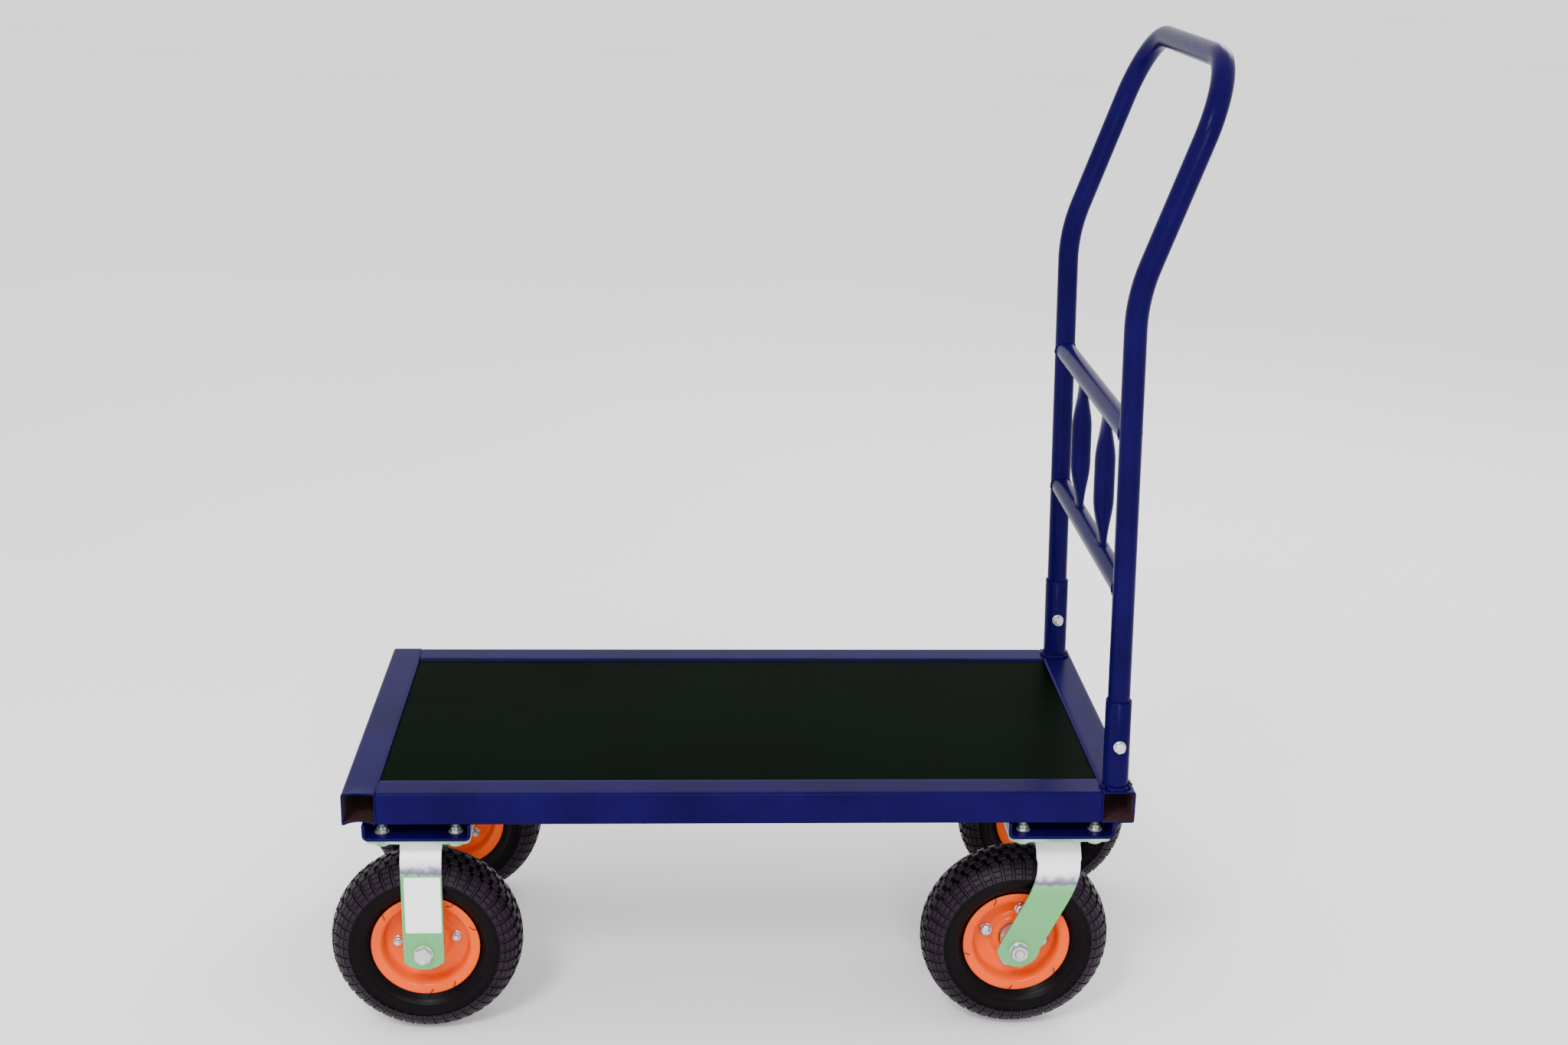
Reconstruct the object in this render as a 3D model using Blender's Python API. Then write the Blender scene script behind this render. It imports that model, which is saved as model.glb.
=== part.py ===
"""Platform trolley with a welded steel deck frame, a bolted-on push handle and four pneumatic casters.

Frame: metres, +Z up, floor at Z = 0. The deck's length runs along X with the handle at the +X end (the
rear, where the user stands). The user faces -X, so the left side is -Y and the right side is +Y. The
origin is on the floor at the centre of the trolley's box.
"""

import math

import bmesh
import bpy
from mathutils import Matrix, Vector

# ------------------------------------------------------------------ driving dimensions (metres)
GAP = 0.0004                  # left between pieces that touch

DECK_LENGTH = 1.000
DECK_WIDTH = 0.500
TUBE = 0.043                  # side of the square frame tube
TUBE_WALL = 0.002
TUBE_CORNER = 0.004
PANEL_THICKNESS = 0.012
PANEL_RECESS = 0.002
PANEL_PLAY = 0.0008
LEDGE = 0.022                 # leg of the angle that carries the panel
LEDGE_WALL = 0.003
BEARER_WIDTH = 0.030
BEARER_DEPTH = 0.020

WHEEL_RADIUS = 0.1245
AXLE_BELOW_DECK = 0.2345      # from the frame's top down to the wheel axles
CASTER_Y = 0.182              # wheel centre planes, either side of the middle
FRONT_AXLE = -0.4070          # along the deck, from the deck's centre
SWIVEL_AXIS = 0.4130
TRAIL = 0.0480                # swivel axis to axle
REAR_AXLES = {"left": SWIVEL_AXIS - TRAIL, "right": SWIVEL_AXIS + TRAIL}

CHANNEL_CENTRE = 0.4080
CHANNEL_WIDTH = 0.136
CHANNEL_DEPTH = 0.022
CHANNEL_WALL = 0.004
PLATE = (0.130, 0.128, 0.005)
PLATE_HOLES = (0.093, 0.094)  # spacing of the four plate bolts
PLATE_HOLE_RADIUS = 0.0046

HANDLE_Y = 0.2285             # leg axes, either side of the middle
LEG_FOOT = 0.4767             # leg axis at the deck's top
LEG_LEAN = math.radians(-1.47)
LEG_STRAIGHT = 0.590          # height of the upright stretch above the deck
GRIP_LEAN = math.radians(19.5)
LEAN_BEND_RADIUS = 0.220
GRIP_HEIGHT = 0.905           # grip bar's axis above the deck
CORNER_RADIUS = 0.095
HANDLE_RADIUS = 0.0140
HANDLE_WALL = 0.0015
SOCKET_RADIUS = 0.0160
SOCKET_BORE = 0.0145
SOCKET_HEIGHT = 0.118
HANDLE_BOLT_HEIGHT = 0.060
HANDLE_BOLT_RADIUS = 0.0040
CROSSBAR_HEIGHTS = {"lower": 0.264, "upper": 0.463}
CROSSBAR_RADIUS = 0.0140
BALUSTER_Y = 0.082
BALUSTER_RADIUS = 0.0135
BALUSTER_END = (0.0050, 0.0185)   # half thickness along X and half width along Y of a flattened end
BALUSTER_TAPER = 0.30         # share of its length, from each end, over which it goes from flat to round
BALUSTER_OVERLAP = 0.008      # crossbar's axis to where the uncut baluster starts
COPE_HEIGHTS = (0.150, 0.550)   # stretch of leg that trims the crossbars' ends
BAR_CUT_LENGTH = 0.30
HANDLE_CUTTER_LENGTH = 0.050

M8_FLATS = 0.0130
M8_HEAD_HEIGHT = 0.0053
M8_NUT_HEIGHT = 0.0065
M8_WASHER = (0.0080, 0.0012)  # radius and thickness
M12_FLATS = 0.0190
M12_HEAD_HEIGHT = 0.0075
M12_NUT_HEIGHT = 0.0100
M12_WASHER = (0.0120, 0.0018)

TYRE_HALF = 0.039
TYRE_SIDES = 28                # facets around the tread
RIM_RADIUS = 0.0705
RIM_FLANGE = 0.0285           # flange's outer face from the wheel's centre plane
RIM_SHEET = 0.0024
BEAD_RADIUS = 0.0585
HUB_RADIUS = 0.0205
HUB_FLANGE = (0.0470, 0.0030)   # radius and half thickness of the flange that the rim halves clamp
HUB_HALF = 0.0434
HUB_SHOULDER = 0.0340
HUB_BOSS = 0.0105
AXLE_RADIUS = 0.0060
AXLE_HOLE = 0.0065

FORK_HALF = 0.048             # outer face of a leg from the wheel's centre plane
FORK_SHEET = 0.004
FORK_CROWN_HALF = 0.020
FORK_SHOULDER_DROP = 0.040    # crown's top down to where the legs run straight
FORK_HALF_WIDTH = 0.026
FORK_CROWN_HALF_WIDTH = {"front": 0.0260, "rear": 0.0290}
FRONT_FORK_END = (0.0130, 0.0240)   # below the axle: where the straight edges stop, and the arc's lowest point
REAR_FORK_END_RADIUS = 0.0250
AXLE_CUTTER_LENGTH = 0.12
KINGPIN_CUTTER_LENGTH = 0.060
RACE_RADIUS = 0.0340
RACE_HEIGHT = 0.0200
RACE_STEP = 0.0035             # how far the lower cup stands back from the upper one
KINGPIN_RADIUS = 0.0080
KINGPIN_HEAD = (0.0120, 0.0060)
KINGPIN_HOLE = 0.0087

DECK_TOP = WHEEL_RADIUS + AXLE_BELOW_DECK
SHIFT = -(FRONT_AXLE + REAR_AXLES["right"]) / 2   # deck's centre in the trolley's own frame
SIDES = {"left": -1, "right": 1}
OFF_SEAMS = Matrix.Rotation(math.radians(7), 4, "Z")   # turns a round cutter's corners off a sheet's edges

COLOURS = {                   # base colour, roughness, metallic
    "blue_paint": ((0.018, 0.014, 0.135), 0.32, 0.0),
    "deck_film": ((0.006, 0.014, 0.008), 0.30, 0.0),
    "zinc": ((0.62, 0.64, 0.62), 0.35, 1.0),
    "tyre_rubber": ((0.022, 0.018, 0.024), 0.62, 0.0),
    "orange_paint": ((0.90, 0.16, 0.01), 0.30, 0.0),
}


# ------------------------------------------------------------------ scene and mesh helpers
def clear_scene():
    for old in list(bpy.data.objects):
        bpy.data.objects.remove(old, do_unlink=True)


def material(name):
    found = bpy.data.materials.get(name)
    if found:
        return found
    colour, roughness, metallic = COLOURS[name]
    made = bpy.data.materials.new(name)
    made.use_nodes = True
    shader = made.node_tree.nodes["Principled BSDF"]
    shader.inputs["Base Color"].default_value = (*colour, 1.0)
    shader.inputs["Roughness"].default_value = roughness
    shader.inputs["Metallic"].default_value = metallic
    made.diffuse_color = (*colour, 1.0)
    return made


def add_object(name, mesh, finish, parent=None, place=Matrix.Identity(4)):
    """Links a mesh as a named object, placed under its parent."""
    piece = bpy.data.objects.new(name, mesh)
    bpy.context.scene.collection.objects.link(piece)
    if finish and not mesh.materials:
        mesh.materials.append(material(finish))
    piece.parent = parent
    piece.matrix_local = place
    return piece


def add_empty(name, location, parent=None):
    empty = bpy.data.objects.new(name, None)
    bpy.context.scene.collection.objects.link(empty)
    empty.parent = parent
    empty.location = location
    return empty


def finish_mesh(bm, name, smooth_angle=None):
    bmesh.ops.recalc_face_normals(bm, faces=bm.faces)
    mesh = bpy.data.meshes.new(name)
    bm.to_mesh(mesh)
    bm.free()
    if smooth_angle:
        mesh.shade_smooth()
        mesh.set_sharp_from_angle(angle=math.radians(smooth_angle))
    return mesh


def cut(piece, cutter):
    """Takes a hidden cutter's shape out of a piece."""
    change = piece.modifiers.new(f"cut_{cutter.name}", "BOOLEAN")
    change.operation = "DIFFERENCE"
    change.solver = "EXACT"
    change.object = cutter


def hide_cutter(cutter):
    cutter.hide_render = True
    cutter.display_type = "WIRE"
    return cutter


def ring_faces(bm, rings, closed):
    """Joins rings of vertices, each to the next, and the last to the first if closed."""
    count = len(rings[0])
    pairs = list(zip(rings, rings[1:]))
    if closed:
        pairs.append((rings[-1], rings[0]))
    for low, high in pairs:
        for k in range(count):
            after = (k + 1) % count
            bm.faces.new((low[k], low[after], high[after], high[k]))


def circle(centre, across, up, radius, count):
    """Points of a circle in the plane of two unit vectors."""
    turn = 2 * math.pi / count
    return [centre + radius * (math.cos(k * turn) * across + math.sin(k * turn) * up) for k in range(count)]


def rounded_square(side, radius, corner_steps=3):
    """Outline of a square with round corners, centred on the origin."""
    points = []
    middle = side / 2 - radius
    for corner, (sx, sy) in enumerate(((1, 1), (-1, 1), (-1, -1), (1, -1))):
        for step in range(corner_steps + 1):
            angle = math.pi / 2 * (corner + step / corner_steps)
            points.append((sx * middle + radius * math.cos(angle), sy * middle + radius * math.sin(angle)))
    return points


def box_tube(name, length, along):
    """A square hollow section of the frame, centred on the origin, open at both ends."""
    bm = bmesh.new()
    outer = rounded_square(TUBE, TUBE_CORNER)
    inner = rounded_square(TUBE - 2 * TUBE_WALL, TUBE_CORNER - TUBE_WALL)

    def ring(outline, at):
        if along == "X":
            return [bm.verts.new((at, a, b)) for a, b in outline]
        return [bm.verts.new((a, at, b)) for a, b in outline]

    half = length / 2
    skin = [ring(outer, -half), ring(outer, half)]
    lining = [ring(inner, half), ring(inner, -half)]
    ring_faces(bm, skin + lining, closed=True)
    return finish_mesh(bm, name, smooth_angle=50)


def extruded(name, outline, depth, plane="XY"):
    """A solid of an outline and a depth: the outline lies in the plane, the depth is along its normal."""
    bm = bmesh.new()

    def place(a, b, height):
        if plane == "XY":
            return (a, b, height)
        if plane == "XZ":
            return (a, height, b)
        return (height, a, b)

    low = [bm.verts.new(place(a, b, -depth / 2)) for a, b in outline]
    high = [bm.verts.new(place(a, b, depth / 2)) for a, b in outline]
    ring_faces(bm, [low, high], closed=False)
    bm.faces.new(low)
    bm.faces.new(high)
    return finish_mesh(bm, name, smooth_angle=40)


def turned(name, profile, count, smooth_angle=35):
    """Revolves a closed (radius, height) profile about Z. Points at radius 0 share one vertex."""
    bm = bmesh.new()
    rings = []
    for radius, height in profile:
        if radius < 1e-9:
            centre = bm.verts.new((0, 0, height))
            rings.append([centre] * count)
        else:
            rings.append(level_ring(bm, radius, height, count))
    for low, high in zip(rings, rings[1:] + rings[:1]):
        for k in range(count):
            after = (k + 1) % count
            corners = []
            for vertex in (low[k], low[after], high[after], high[k]):
                if vertex not in corners:
                    corners.append(vertex)
            if len(corners) > 2:
                bm.faces.new(corners)
    return finish_mesh(bm, name, smooth_angle)


def cylinder_cutter(name, radius, length, place, parent=None, count=12):
    """A hidden cylinder, its axis along its own Z."""
    half = length / 2
    mesh = turned(name, [(0, -half), (radius, -half), (radius, half), (0, half)], count)
    return hide_cutter(add_object(name, mesh, None, parent, place))


def swept_tube(name, path, radius, bore, count=12):
    """A round tube swept along a path of points, open at both ends."""
    bm = bmesh.new()
    outer_rings = []
    inner_rings = []
    across = None
    for k, point in enumerate(path):
        before = path[max(k - 1, 0)]
        after = path[min(k + 1, len(path) - 1)]
        heading = (after - before).normalized()
        if across is None:
            across = heading.orthogonal().normalized()
        across = (across - across.dot(heading) * heading).normalized()
        up = heading.cross(across)
        outer_rings.append([bm.verts.new(p) for p in circle(point, across, up, radius, count)])
        inner_rings.append([bm.verts.new(p) for p in circle(point, across, up, bore, count)])
    ring_faces(bm, outer_rings + inner_rings[::-1], closed=True)
    return finish_mesh(bm, name, smooth_angle=50)


def level_ring(bm, radius, height, count=12):
    """New vertices on a circle about Z."""
    points = circle(Vector((0, 0, height)), Vector((1, 0, 0)), Vector((0, 1, 0)), radius, count)
    return [bm.verts.new(point) for point in points]


def hexagon_ring(bm, flats, height, count=12):
    """New vertices on a hexagon about Z, as many as on the circles it is joined to."""
    sixth = math.pi / 3
    ring = []
    for k in range(count):
        angle = 2 * math.pi * k / count
        from_flat = (angle + sixth / 2) % sixth - sixth / 2
        reach = flats / 2 / math.cos(sixth / 2 - abs(from_flat))
        ring.append(bm.verts.new((reach * math.cos(angle), reach * math.sin(angle), height)))
    return ring


def hex_bolt(name, radius, length, flats, head, washer):
    """A bolt along Z: under-head face at height 0, shank down, washer and hexagonal head up."""
    bm = bmesh.new()
    washer_radius, washer_height = washer
    tip = 0.15 * radius
    rings = [level_ring(bm, radius - tip, -length), level_ring(bm, radius, -length + tip)]
    rings += [level_ring(bm, radius, 0)]
    rings += [level_ring(bm, washer_radius, 0), level_ring(bm, washer_radius, washer_height)]
    rings += [hexagon_ring(bm, flats, washer_height), hexagon_ring(bm, flats, washer_height + head)]
    ring_faces(bm, rings, closed=False)
    bm.faces.new(rings[0])
    bm.faces.new(rings[-1])
    return finish_mesh(bm, name, smooth_angle=30)


def hex_nut(name, bore, flats, height, washer):
    """A nut along Z with its washer, standing on height 0."""
    bm = bmesh.new()
    washer_radius, washer_height = washer
    top = washer_height + height
    rings = [level_ring(bm, bore, 0), level_ring(bm, washer_radius, 0)]
    rings += [level_ring(bm, washer_radius, washer_height), hexagon_ring(bm, flats, washer_height)]
    rings += [hexagon_ring(bm, flats, top), level_ring(bm, bore, top)]
    ring_faces(bm, rings, closed=True)
    return finish_mesh(bm, name, smooth_angle=30)


# ------------------------------------------------------------------ deck
def build_deck(deck):
    """End tubes across the full width, side rails between them, and the panel on its ledges."""
    tube_z = -TUBE / 2
    end_x = (DECK_LENGTH - TUBE) / 2
    end_mesh = box_tube("end_tube", DECK_WIDTH, "Y")
    for name, sign in (("front_end_tube", -1), ("rear_end_tube", 1)):
        add_object(name, end_mesh, "blue_paint", deck, Matrix.Translation((sign * end_x, 0, tube_z)))

    rail_length = DECK_LENGTH - 2 * TUBE - 2 * GAP
    rail_y = (DECK_WIDTH - TUBE) / 2
    rail_mesh = box_tube("side_rail", rail_length, "X")
    for side, sign in SIDES.items():
        place = Matrix.Translation((0, sign * rail_y, tube_z))
        add_object(f"{side}_side_rail", rail_mesh, "blue_paint", deck, place)

    inside = (DECK_LENGTH / 2 - TUBE, DECK_WIDTH / 2 - TUBE)
    half_x = inside[0] - PANEL_PLAY
    half_y = inside[1] - PANEL_PLAY
    outline = [(-half_x, -half_y), (half_x, -half_y), (half_x, half_y), (-half_x, half_y)]
    panel_z = -PANEL_RECESS - PANEL_THICKNESS / 2
    panel = extruded("deck_panel", outline, PANEL_THICKNESS)
    add_object("deck_panel", panel, "deck_film", deck, Matrix.Translation((0, 0, panel_z)))

    ledge_top = -PANEL_RECESS - PANEL_THICKNESS - GAP
    ledge_length = rail_length - 0.010
    for side, sign in SIDES.items():
        wall = inside[1] - GAP
        tip = wall - LEDGE
        inner = wall - LEDGE_WALL
        angle = [(wall, ledge_top), (wall, ledge_top - LEDGE), (inner, ledge_top - LEDGE),
                 (inner, ledge_top - LEDGE_WALL), (tip, ledge_top - LEDGE_WALL), (tip, ledge_top)]
        mesh = extruded(f"{side}_panel_ledge", [(sign * y, z) for y, z in angle], ledge_length, "YZ")
        add_object(f"{side}_panel_ledge", mesh, "blue_paint", deck)

    bearer_half = inside[1] - LEDGE - 2 * GAP
    bearer = box_section("panel_cross_bearer", BEARER_WIDTH, BEARER_DEPTH, 2 * bearer_half)
    place = Matrix.Translation((0, 0, ledge_top - BEARER_DEPTH / 2))
    add_object("panel_cross_bearer", bearer, "blue_paint", deck, place)


def box_section(name, width, depth, length):
    """A rectangular hollow section along Y, open at both ends."""
    bm = bmesh.new()

    def ring(inset, at):
        x = width / 2 - inset
        z = depth / 2 - inset
        return [bm.verts.new((sx * x, at, sz * z)) for sx, sz in ((1, 1), (-1, 1), (-1, -1), (1, -1))]

    half = length / 2
    rings = [ring(0, -half), ring(0, half), ring(TUBE_WALL, half), ring(TUBE_WALL, -half)]
    ring_faces(bm, rings, closed=True)
    return finish_mesh(bm, name)


# ------------------------------------------------------------------ caster channels and plates
def build_channel(name, deck, centre_x, plate_x):
    """A folded cross-member, open upwards, that the two casters of one end bolt to."""
    half = CHANNEL_WIDTH / 2
    wall = CHANNEL_WALL
    top = -TUBE - GAP
    floor = top - CHANNEL_DEPTH
    bend = 2 * wall
    bend_steps = 3

    def corner(sign, radius):
        centre = (sign * (half - bend), floor + bend)
        turns = [math.pi / 2 * step / bend_steps for step in range(bend_steps + 1)]
        return [(centre[0] + sign * radius * math.cos(t), centre[1] - radius * math.sin(t)) for t in turns]

    outline = [(half, top)] + corner(1, bend) + corner(-1, bend)[::-1] + [(-half, top)]
    outline += [(-half + wall, top)] + corner(-1, bend - wall)
    outline += corner(1, bend - wall)[::-1] + [(half - wall, top)]
    channel = extruded(name, outline, DECK_WIDTH, "XZ")
    piece = add_object(name, channel, "blue_paint", deck, Matrix.Translation((centre_x, 0, 0)))
    for side, sign in SIDES.items():
        cut(piece, plate_hole_cutter(f"{name}_{side}_holes", deck, (plate_x, sign * CASTER_Y, floor)))
    return floor


def plate_hole_cutter(name, parent, centre):
    """Four hidden cylinders at a plate's bolt holes, joined as one cutter."""
    bm = bmesh.new()
    length = 0.030
    for sx in (-1, 1):
        for sy in (-1, 1):
            place = Matrix.Translation((sx * PLATE_HOLES[0] / 2, sy * PLATE_HOLES[1] / 2, 0))
            bmesh.ops.create_cone(bm, cap_ends=True, segments=8, radius1=PLATE_HOLE_RADIUS,
                                  radius2=PLATE_HOLE_RADIUS, depth=length, matrix=place)
    mesh = finish_mesh(bm, name)
    return hide_cutter(add_object(name, mesh, None, parent, Matrix.Translation(centre)))


def build_plate(name, parent, plate_x, plate_y, top):
    """A caster's top plate, with its four bolt holes. Returns the height of its underside."""
    length, width, thickness = PLATE
    corner = 0.008
    outline = []
    for quarter, (sx, sy) in enumerate(((1, 1), (-1, 1), (-1, -1), (1, -1))):
        for step in range(4):
            angle = math.pi / 2 * (quarter + step / 3)
            outline.append((sx * (length / 2 - corner) + corner * math.cos(angle),
                            sy * (width / 2 - corner) + corner * math.sin(angle)))
    centre_z = top - thickness / 2
    place = Matrix.Translation((plate_x, plate_y, centre_z))
    piece = add_object(name, extruded(name, outline, thickness), "zinc", parent, place)
    cut(piece, plate_hole_cutter(f"{name}_holes", parent, (plate_x, plate_y, centre_z)))
    return piece, top - thickness


# ------------------------------------------------------------------ forks
def fork_profile(drop):
    """(Y, Z) points of a fork's outer face from the crown's middle down one leg's straight start."""
    bends = []
    start = Vector((FORK_CROWN_HALF, 0.0))
    end = Vector((FORK_HALF, -FORK_SHOULDER_DROP))
    knee = Vector((FORK_CROWN_HALF + 0.010, -0.003))
    low_knee = Vector((FORK_HALF, -FORK_SHOULDER_DROP * 0.72))
    steps = 5
    for step in range(steps + 1):
        t = step / steps
        first_half = (1 - t) ** 3 * start + 3 * (1 - t) ** 2 * t * knee
        point = first_half + 3 * (1 - t) * t ** 2 * low_knee + t ** 3 * end
        bends.append((point.x, point.y))
    return bends + [(FORK_HALF, -drop)]


def front_fork_end():
    """(half width, Z) of a fixed leg's end, the axle at 0: straight edges, then one shallow arc."""
    straight, lowest = FRONT_FORK_END
    rise = lowest - straight
    radius = (FORK_HALF_WIDTH ** 2 + rise ** 2) / (2 * rise)
    steps = 4
    end = [(FORK_HALF_WIDTH, -straight)]
    for step in range(1, steps + 1):
        drop = rise * step / steps * 0.97
        half = math.sqrt(radius ** 2 - (radius - rise + drop) ** 2)
        end.append((half, -straight - drop))
    return end


def rear_fork_end():
    """(half width, Z) of a swivel leg's end, the axle at 0: round about the axle."""
    steps = 4
    turns = [math.pi / 2 * step / steps * 0.94 for step in range(1, steps + 1)]
    return [(FORK_HALF_WIDTH * math.cos(t), -REAR_FORK_END_RADIUS * math.sin(t)) for t in turns]


def fork_mesh(name, crown_z, trail, crown_half_x, end_rows):
    """A pressed sheet fork as one strip: up one leg, over the crown and down the other.

    The origin is on the axle's line, in the wheel's centre plane. The swivel axis, or the plate's
    centre, is at X = trail.
    """
    rows = [(y, crown_z + z) for y, z in fork_profile(FORK_SHOULDER_DROP + 0.012)]
    straight_steps = 4
    low_start = rows[-1][1]
    for step in range(1, straight_steps + 1):
        rows.append((FORK_HALF, low_start * (1 - step / straight_steps)))

    def centre_x(z):
        fall = (crown_z - z) / crown_z
        eased = fall * fall * (2.2 - 1.2 * fall)
        return trail * (1 - eased)

    def half_x(z):
        blend = min((crown_z - z) / FORK_SHOULDER_DROP, 1.0)
        return crown_half_x + (FORK_HALF_WIDTH - crown_half_x) * blend

    outer = [(centre_x(z), half_x(z), y, z) for y, z in rows]
    outer += [(0.0, half, FORK_HALF, z) for half, z in end_rows]

    bm = bmesh.new()
    inner = []
    for k, (x, half, y, z) in enumerate(outer):
        before = outer[max(k - 1, 0)]
        after = outer[min(k + 1, len(outer) - 1)]
        run = Vector((after[2] - before[2], after[3] - before[3])).normalized()
        if k == 0:
            run = Vector((1.0, 0.0))
        inner.append((x, half, y + run.y * FORK_SHEET, z - run.x * FORK_SHEET))

    def strip(rows_of, mirror):
        return [[bm.verts.new((x + s * half, mirror * y, z)) for s in (-1, 1)] for x, half, y, z in rows_of]

    outer_rows = strip(outer[::-1], -1) + strip(outer, 1)
    inner_rows = strip(inner[::-1], -1) + strip(inner, 1)
    loops = [[o[0], o[1], i[1], i[0]] for o, i in zip(outer_rows, inner_rows)]
    ring_faces(bm, loops, closed=False)
    bm.faces.new(loops[0])
    bm.faces.new(loops[-1])
    bmesh.ops.triangulate(bm, faces=bm.faces)
    return finish_mesh(bm, name, smooth_angle=40)


# ------------------------------------------------------------------ wheels
def tyre_profile():
    """A tyre's section, open towards the rim: outer skin up one side and down the other, then the inner skin.

    The crown's radius is larger by the share that makes the flats of the faceted tread touch the floor.
    """
    crown = WHEEL_RADIUS / math.cos(math.pi / TYRE_SIDES)
    bead = BEAD_RADIUS + 0.0005
    lip = RIM_FLANGE - RIM_SHEET - GAP
    one_side = [(bead, lip - 0.0090), (bead, lip), (RIM_RADIUS + 0.0010, lip), (0.0900, TYRE_HALF),
                (0.1080, TYRE_HALF - 0.0015), (0.1195, 0.0260), (crown, 0.0120)]
    other_side = [(radius, -height) for radius, height in one_side[::-1]]
    inner = [(0.1100, -0.0270), (0.1100, 0.0270)]
    return one_side + other_side + inner


def rim_profile():
    """One pressed rim half on the +Z side of the wheel's centre plane: disc, seam, bead seat and flange."""
    sheet = RIM_SHEET
    disc = HUB_FLANGE[1] + GAP
    hole = HUB_RADIUS + GAP
    well = BEAD_RADIUS - sheet
    seam = GAP / 2
    tyre_side = [(hole, disc), (well - 0.0020, disc), (well, seam), (BEAD_RADIUS, seam),
                 (BEAD_RADIUS, RIM_FLANGE - sheet), (RIM_RADIUS, RIM_FLANGE - sheet)]
    open_side = [(RIM_RADIUS, RIM_FLANGE), (BEAD_RADIUS + 0.0010, RIM_FLANGE), (well, RIM_FLANGE - 0.0030),
                 (well, disc + sheet), (hole, disc + sheet)]
    return tyre_side + open_side


def hub_profile():
    flange_radius, flange_half = HUB_FLANGE
    half_section = [(AXLE_HOLE, HUB_HALF), (HUB_BOSS, HUB_HALF), (HUB_BOSS, HUB_SHOULDER),
                    (HUB_RADIUS, HUB_SHOULDER), (HUB_RADIUS, flange_half), (flange_radius, flange_half)]
    return half_section + [(r, -h) for r, h in half_section[::-1]]


def build_wheel(name, axle, outward):
    """Tyre, two rim halves and hub on an axle's empty, which turns about its own Y."""
    stand = Matrix.Rotation(-math.pi / 2 * outward, 4, "X")
    flat_down = Matrix.Rotation(math.pi / TYRE_SIDES, 4, "Z")
    tyre = turned("tyre", tyre_profile(), TYRE_SIDES, smooth_angle=60)
    add_object(f"{name}_tyre", tyre, "tyre_rubber", axle, stand @ flat_down)
    rim = turned("rim_half", rim_profile(), 18, smooth_angle=50)
    add_object(f"{name}_outer_rim", rim, "orange_paint", axle, stand)
    add_object(f"{name}_inner_rim", rim, "orange_paint", axle, stand @ Matrix.Rotation(math.pi, 4, "X"))
    add_object(f"{name}_hub", turned("hub", hub_profile(), 12), "zinc", axle, stand)


def build_axle_fasteners(name, parent, axle_point, head_side):
    """The axle bolt through both fork legs, its head on one side and its nut on the other."""
    seat = FORK_HALF + GAP
    grip = 2 * seat
    towards_head = Matrix.Rotation(-math.pi / 2 * head_side, 4, "X")
    length = grip + M12_WASHER[1] + M12_NUT_HEIGHT + 0.0030
    bolt = hex_bolt(f"{name}_axle_bolt", AXLE_RADIUS, length, M12_FLATS, M12_HEAD_HEIGHT, M12_WASHER)
    nut = hex_nut(f"{name}_axle_nut", AXLE_HOLE, M12_FLATS, M12_NUT_HEIGHT, M12_WASHER)
    bolt_place = Matrix.Translation(axle_point + Vector((0, head_side * seat, 0))) @ towards_head
    nut_turn = Matrix.Rotation(math.pi / 2 * head_side, 4, "X")
    nut_place = Matrix.Translation(axle_point - Vector((0, head_side * seat, 0))) @ nut_turn
    add_object(f"{name}_axle_bolt", bolt, "zinc", parent, bolt_place)
    add_object(f"{name}_axle_nut", nut, "zinc", parent, nut_place)


# ------------------------------------------------------------------ casters
def build_front_caster(side, deck, plate_top):
    """A fixed caster: the fork's crown is welded under the plate."""
    sign = SIDES[side]
    name = f"front_{side}"
    _, under = build_plate(f"{name}_plate", deck, FRONT_AXLE, sign * CASTER_Y, plate_top)
    axle_point = Vector((FRONT_AXLE, sign * CASTER_Y, -AXLE_BELOW_DECK))
    crown_z = under - GAP + AXLE_BELOW_DECK
    mesh = fork_mesh(f"{name}_fork", crown_z, 0.0, FORK_CROWN_HALF_WIDTH["front"], front_fork_end())
    fork = add_object(f"{name}_fork", mesh, "zinc", deck, Matrix.Translation(axle_point))
    across = Matrix.Translation(axle_point) @ Matrix.Rotation(math.pi / 2, 4, "X") @ OFF_SEAMS
    cut(fork, cylinder_cutter(f"{name}_axle_hole", AXLE_HOLE, AXLE_CUTTER_LENGTH, across, deck))
    build_axle_fasteners(name, deck, axle_point, sign)
    axle = add_empty(f"{name}_axle", axle_point, deck)
    build_wheel(name, axle, sign)


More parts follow.
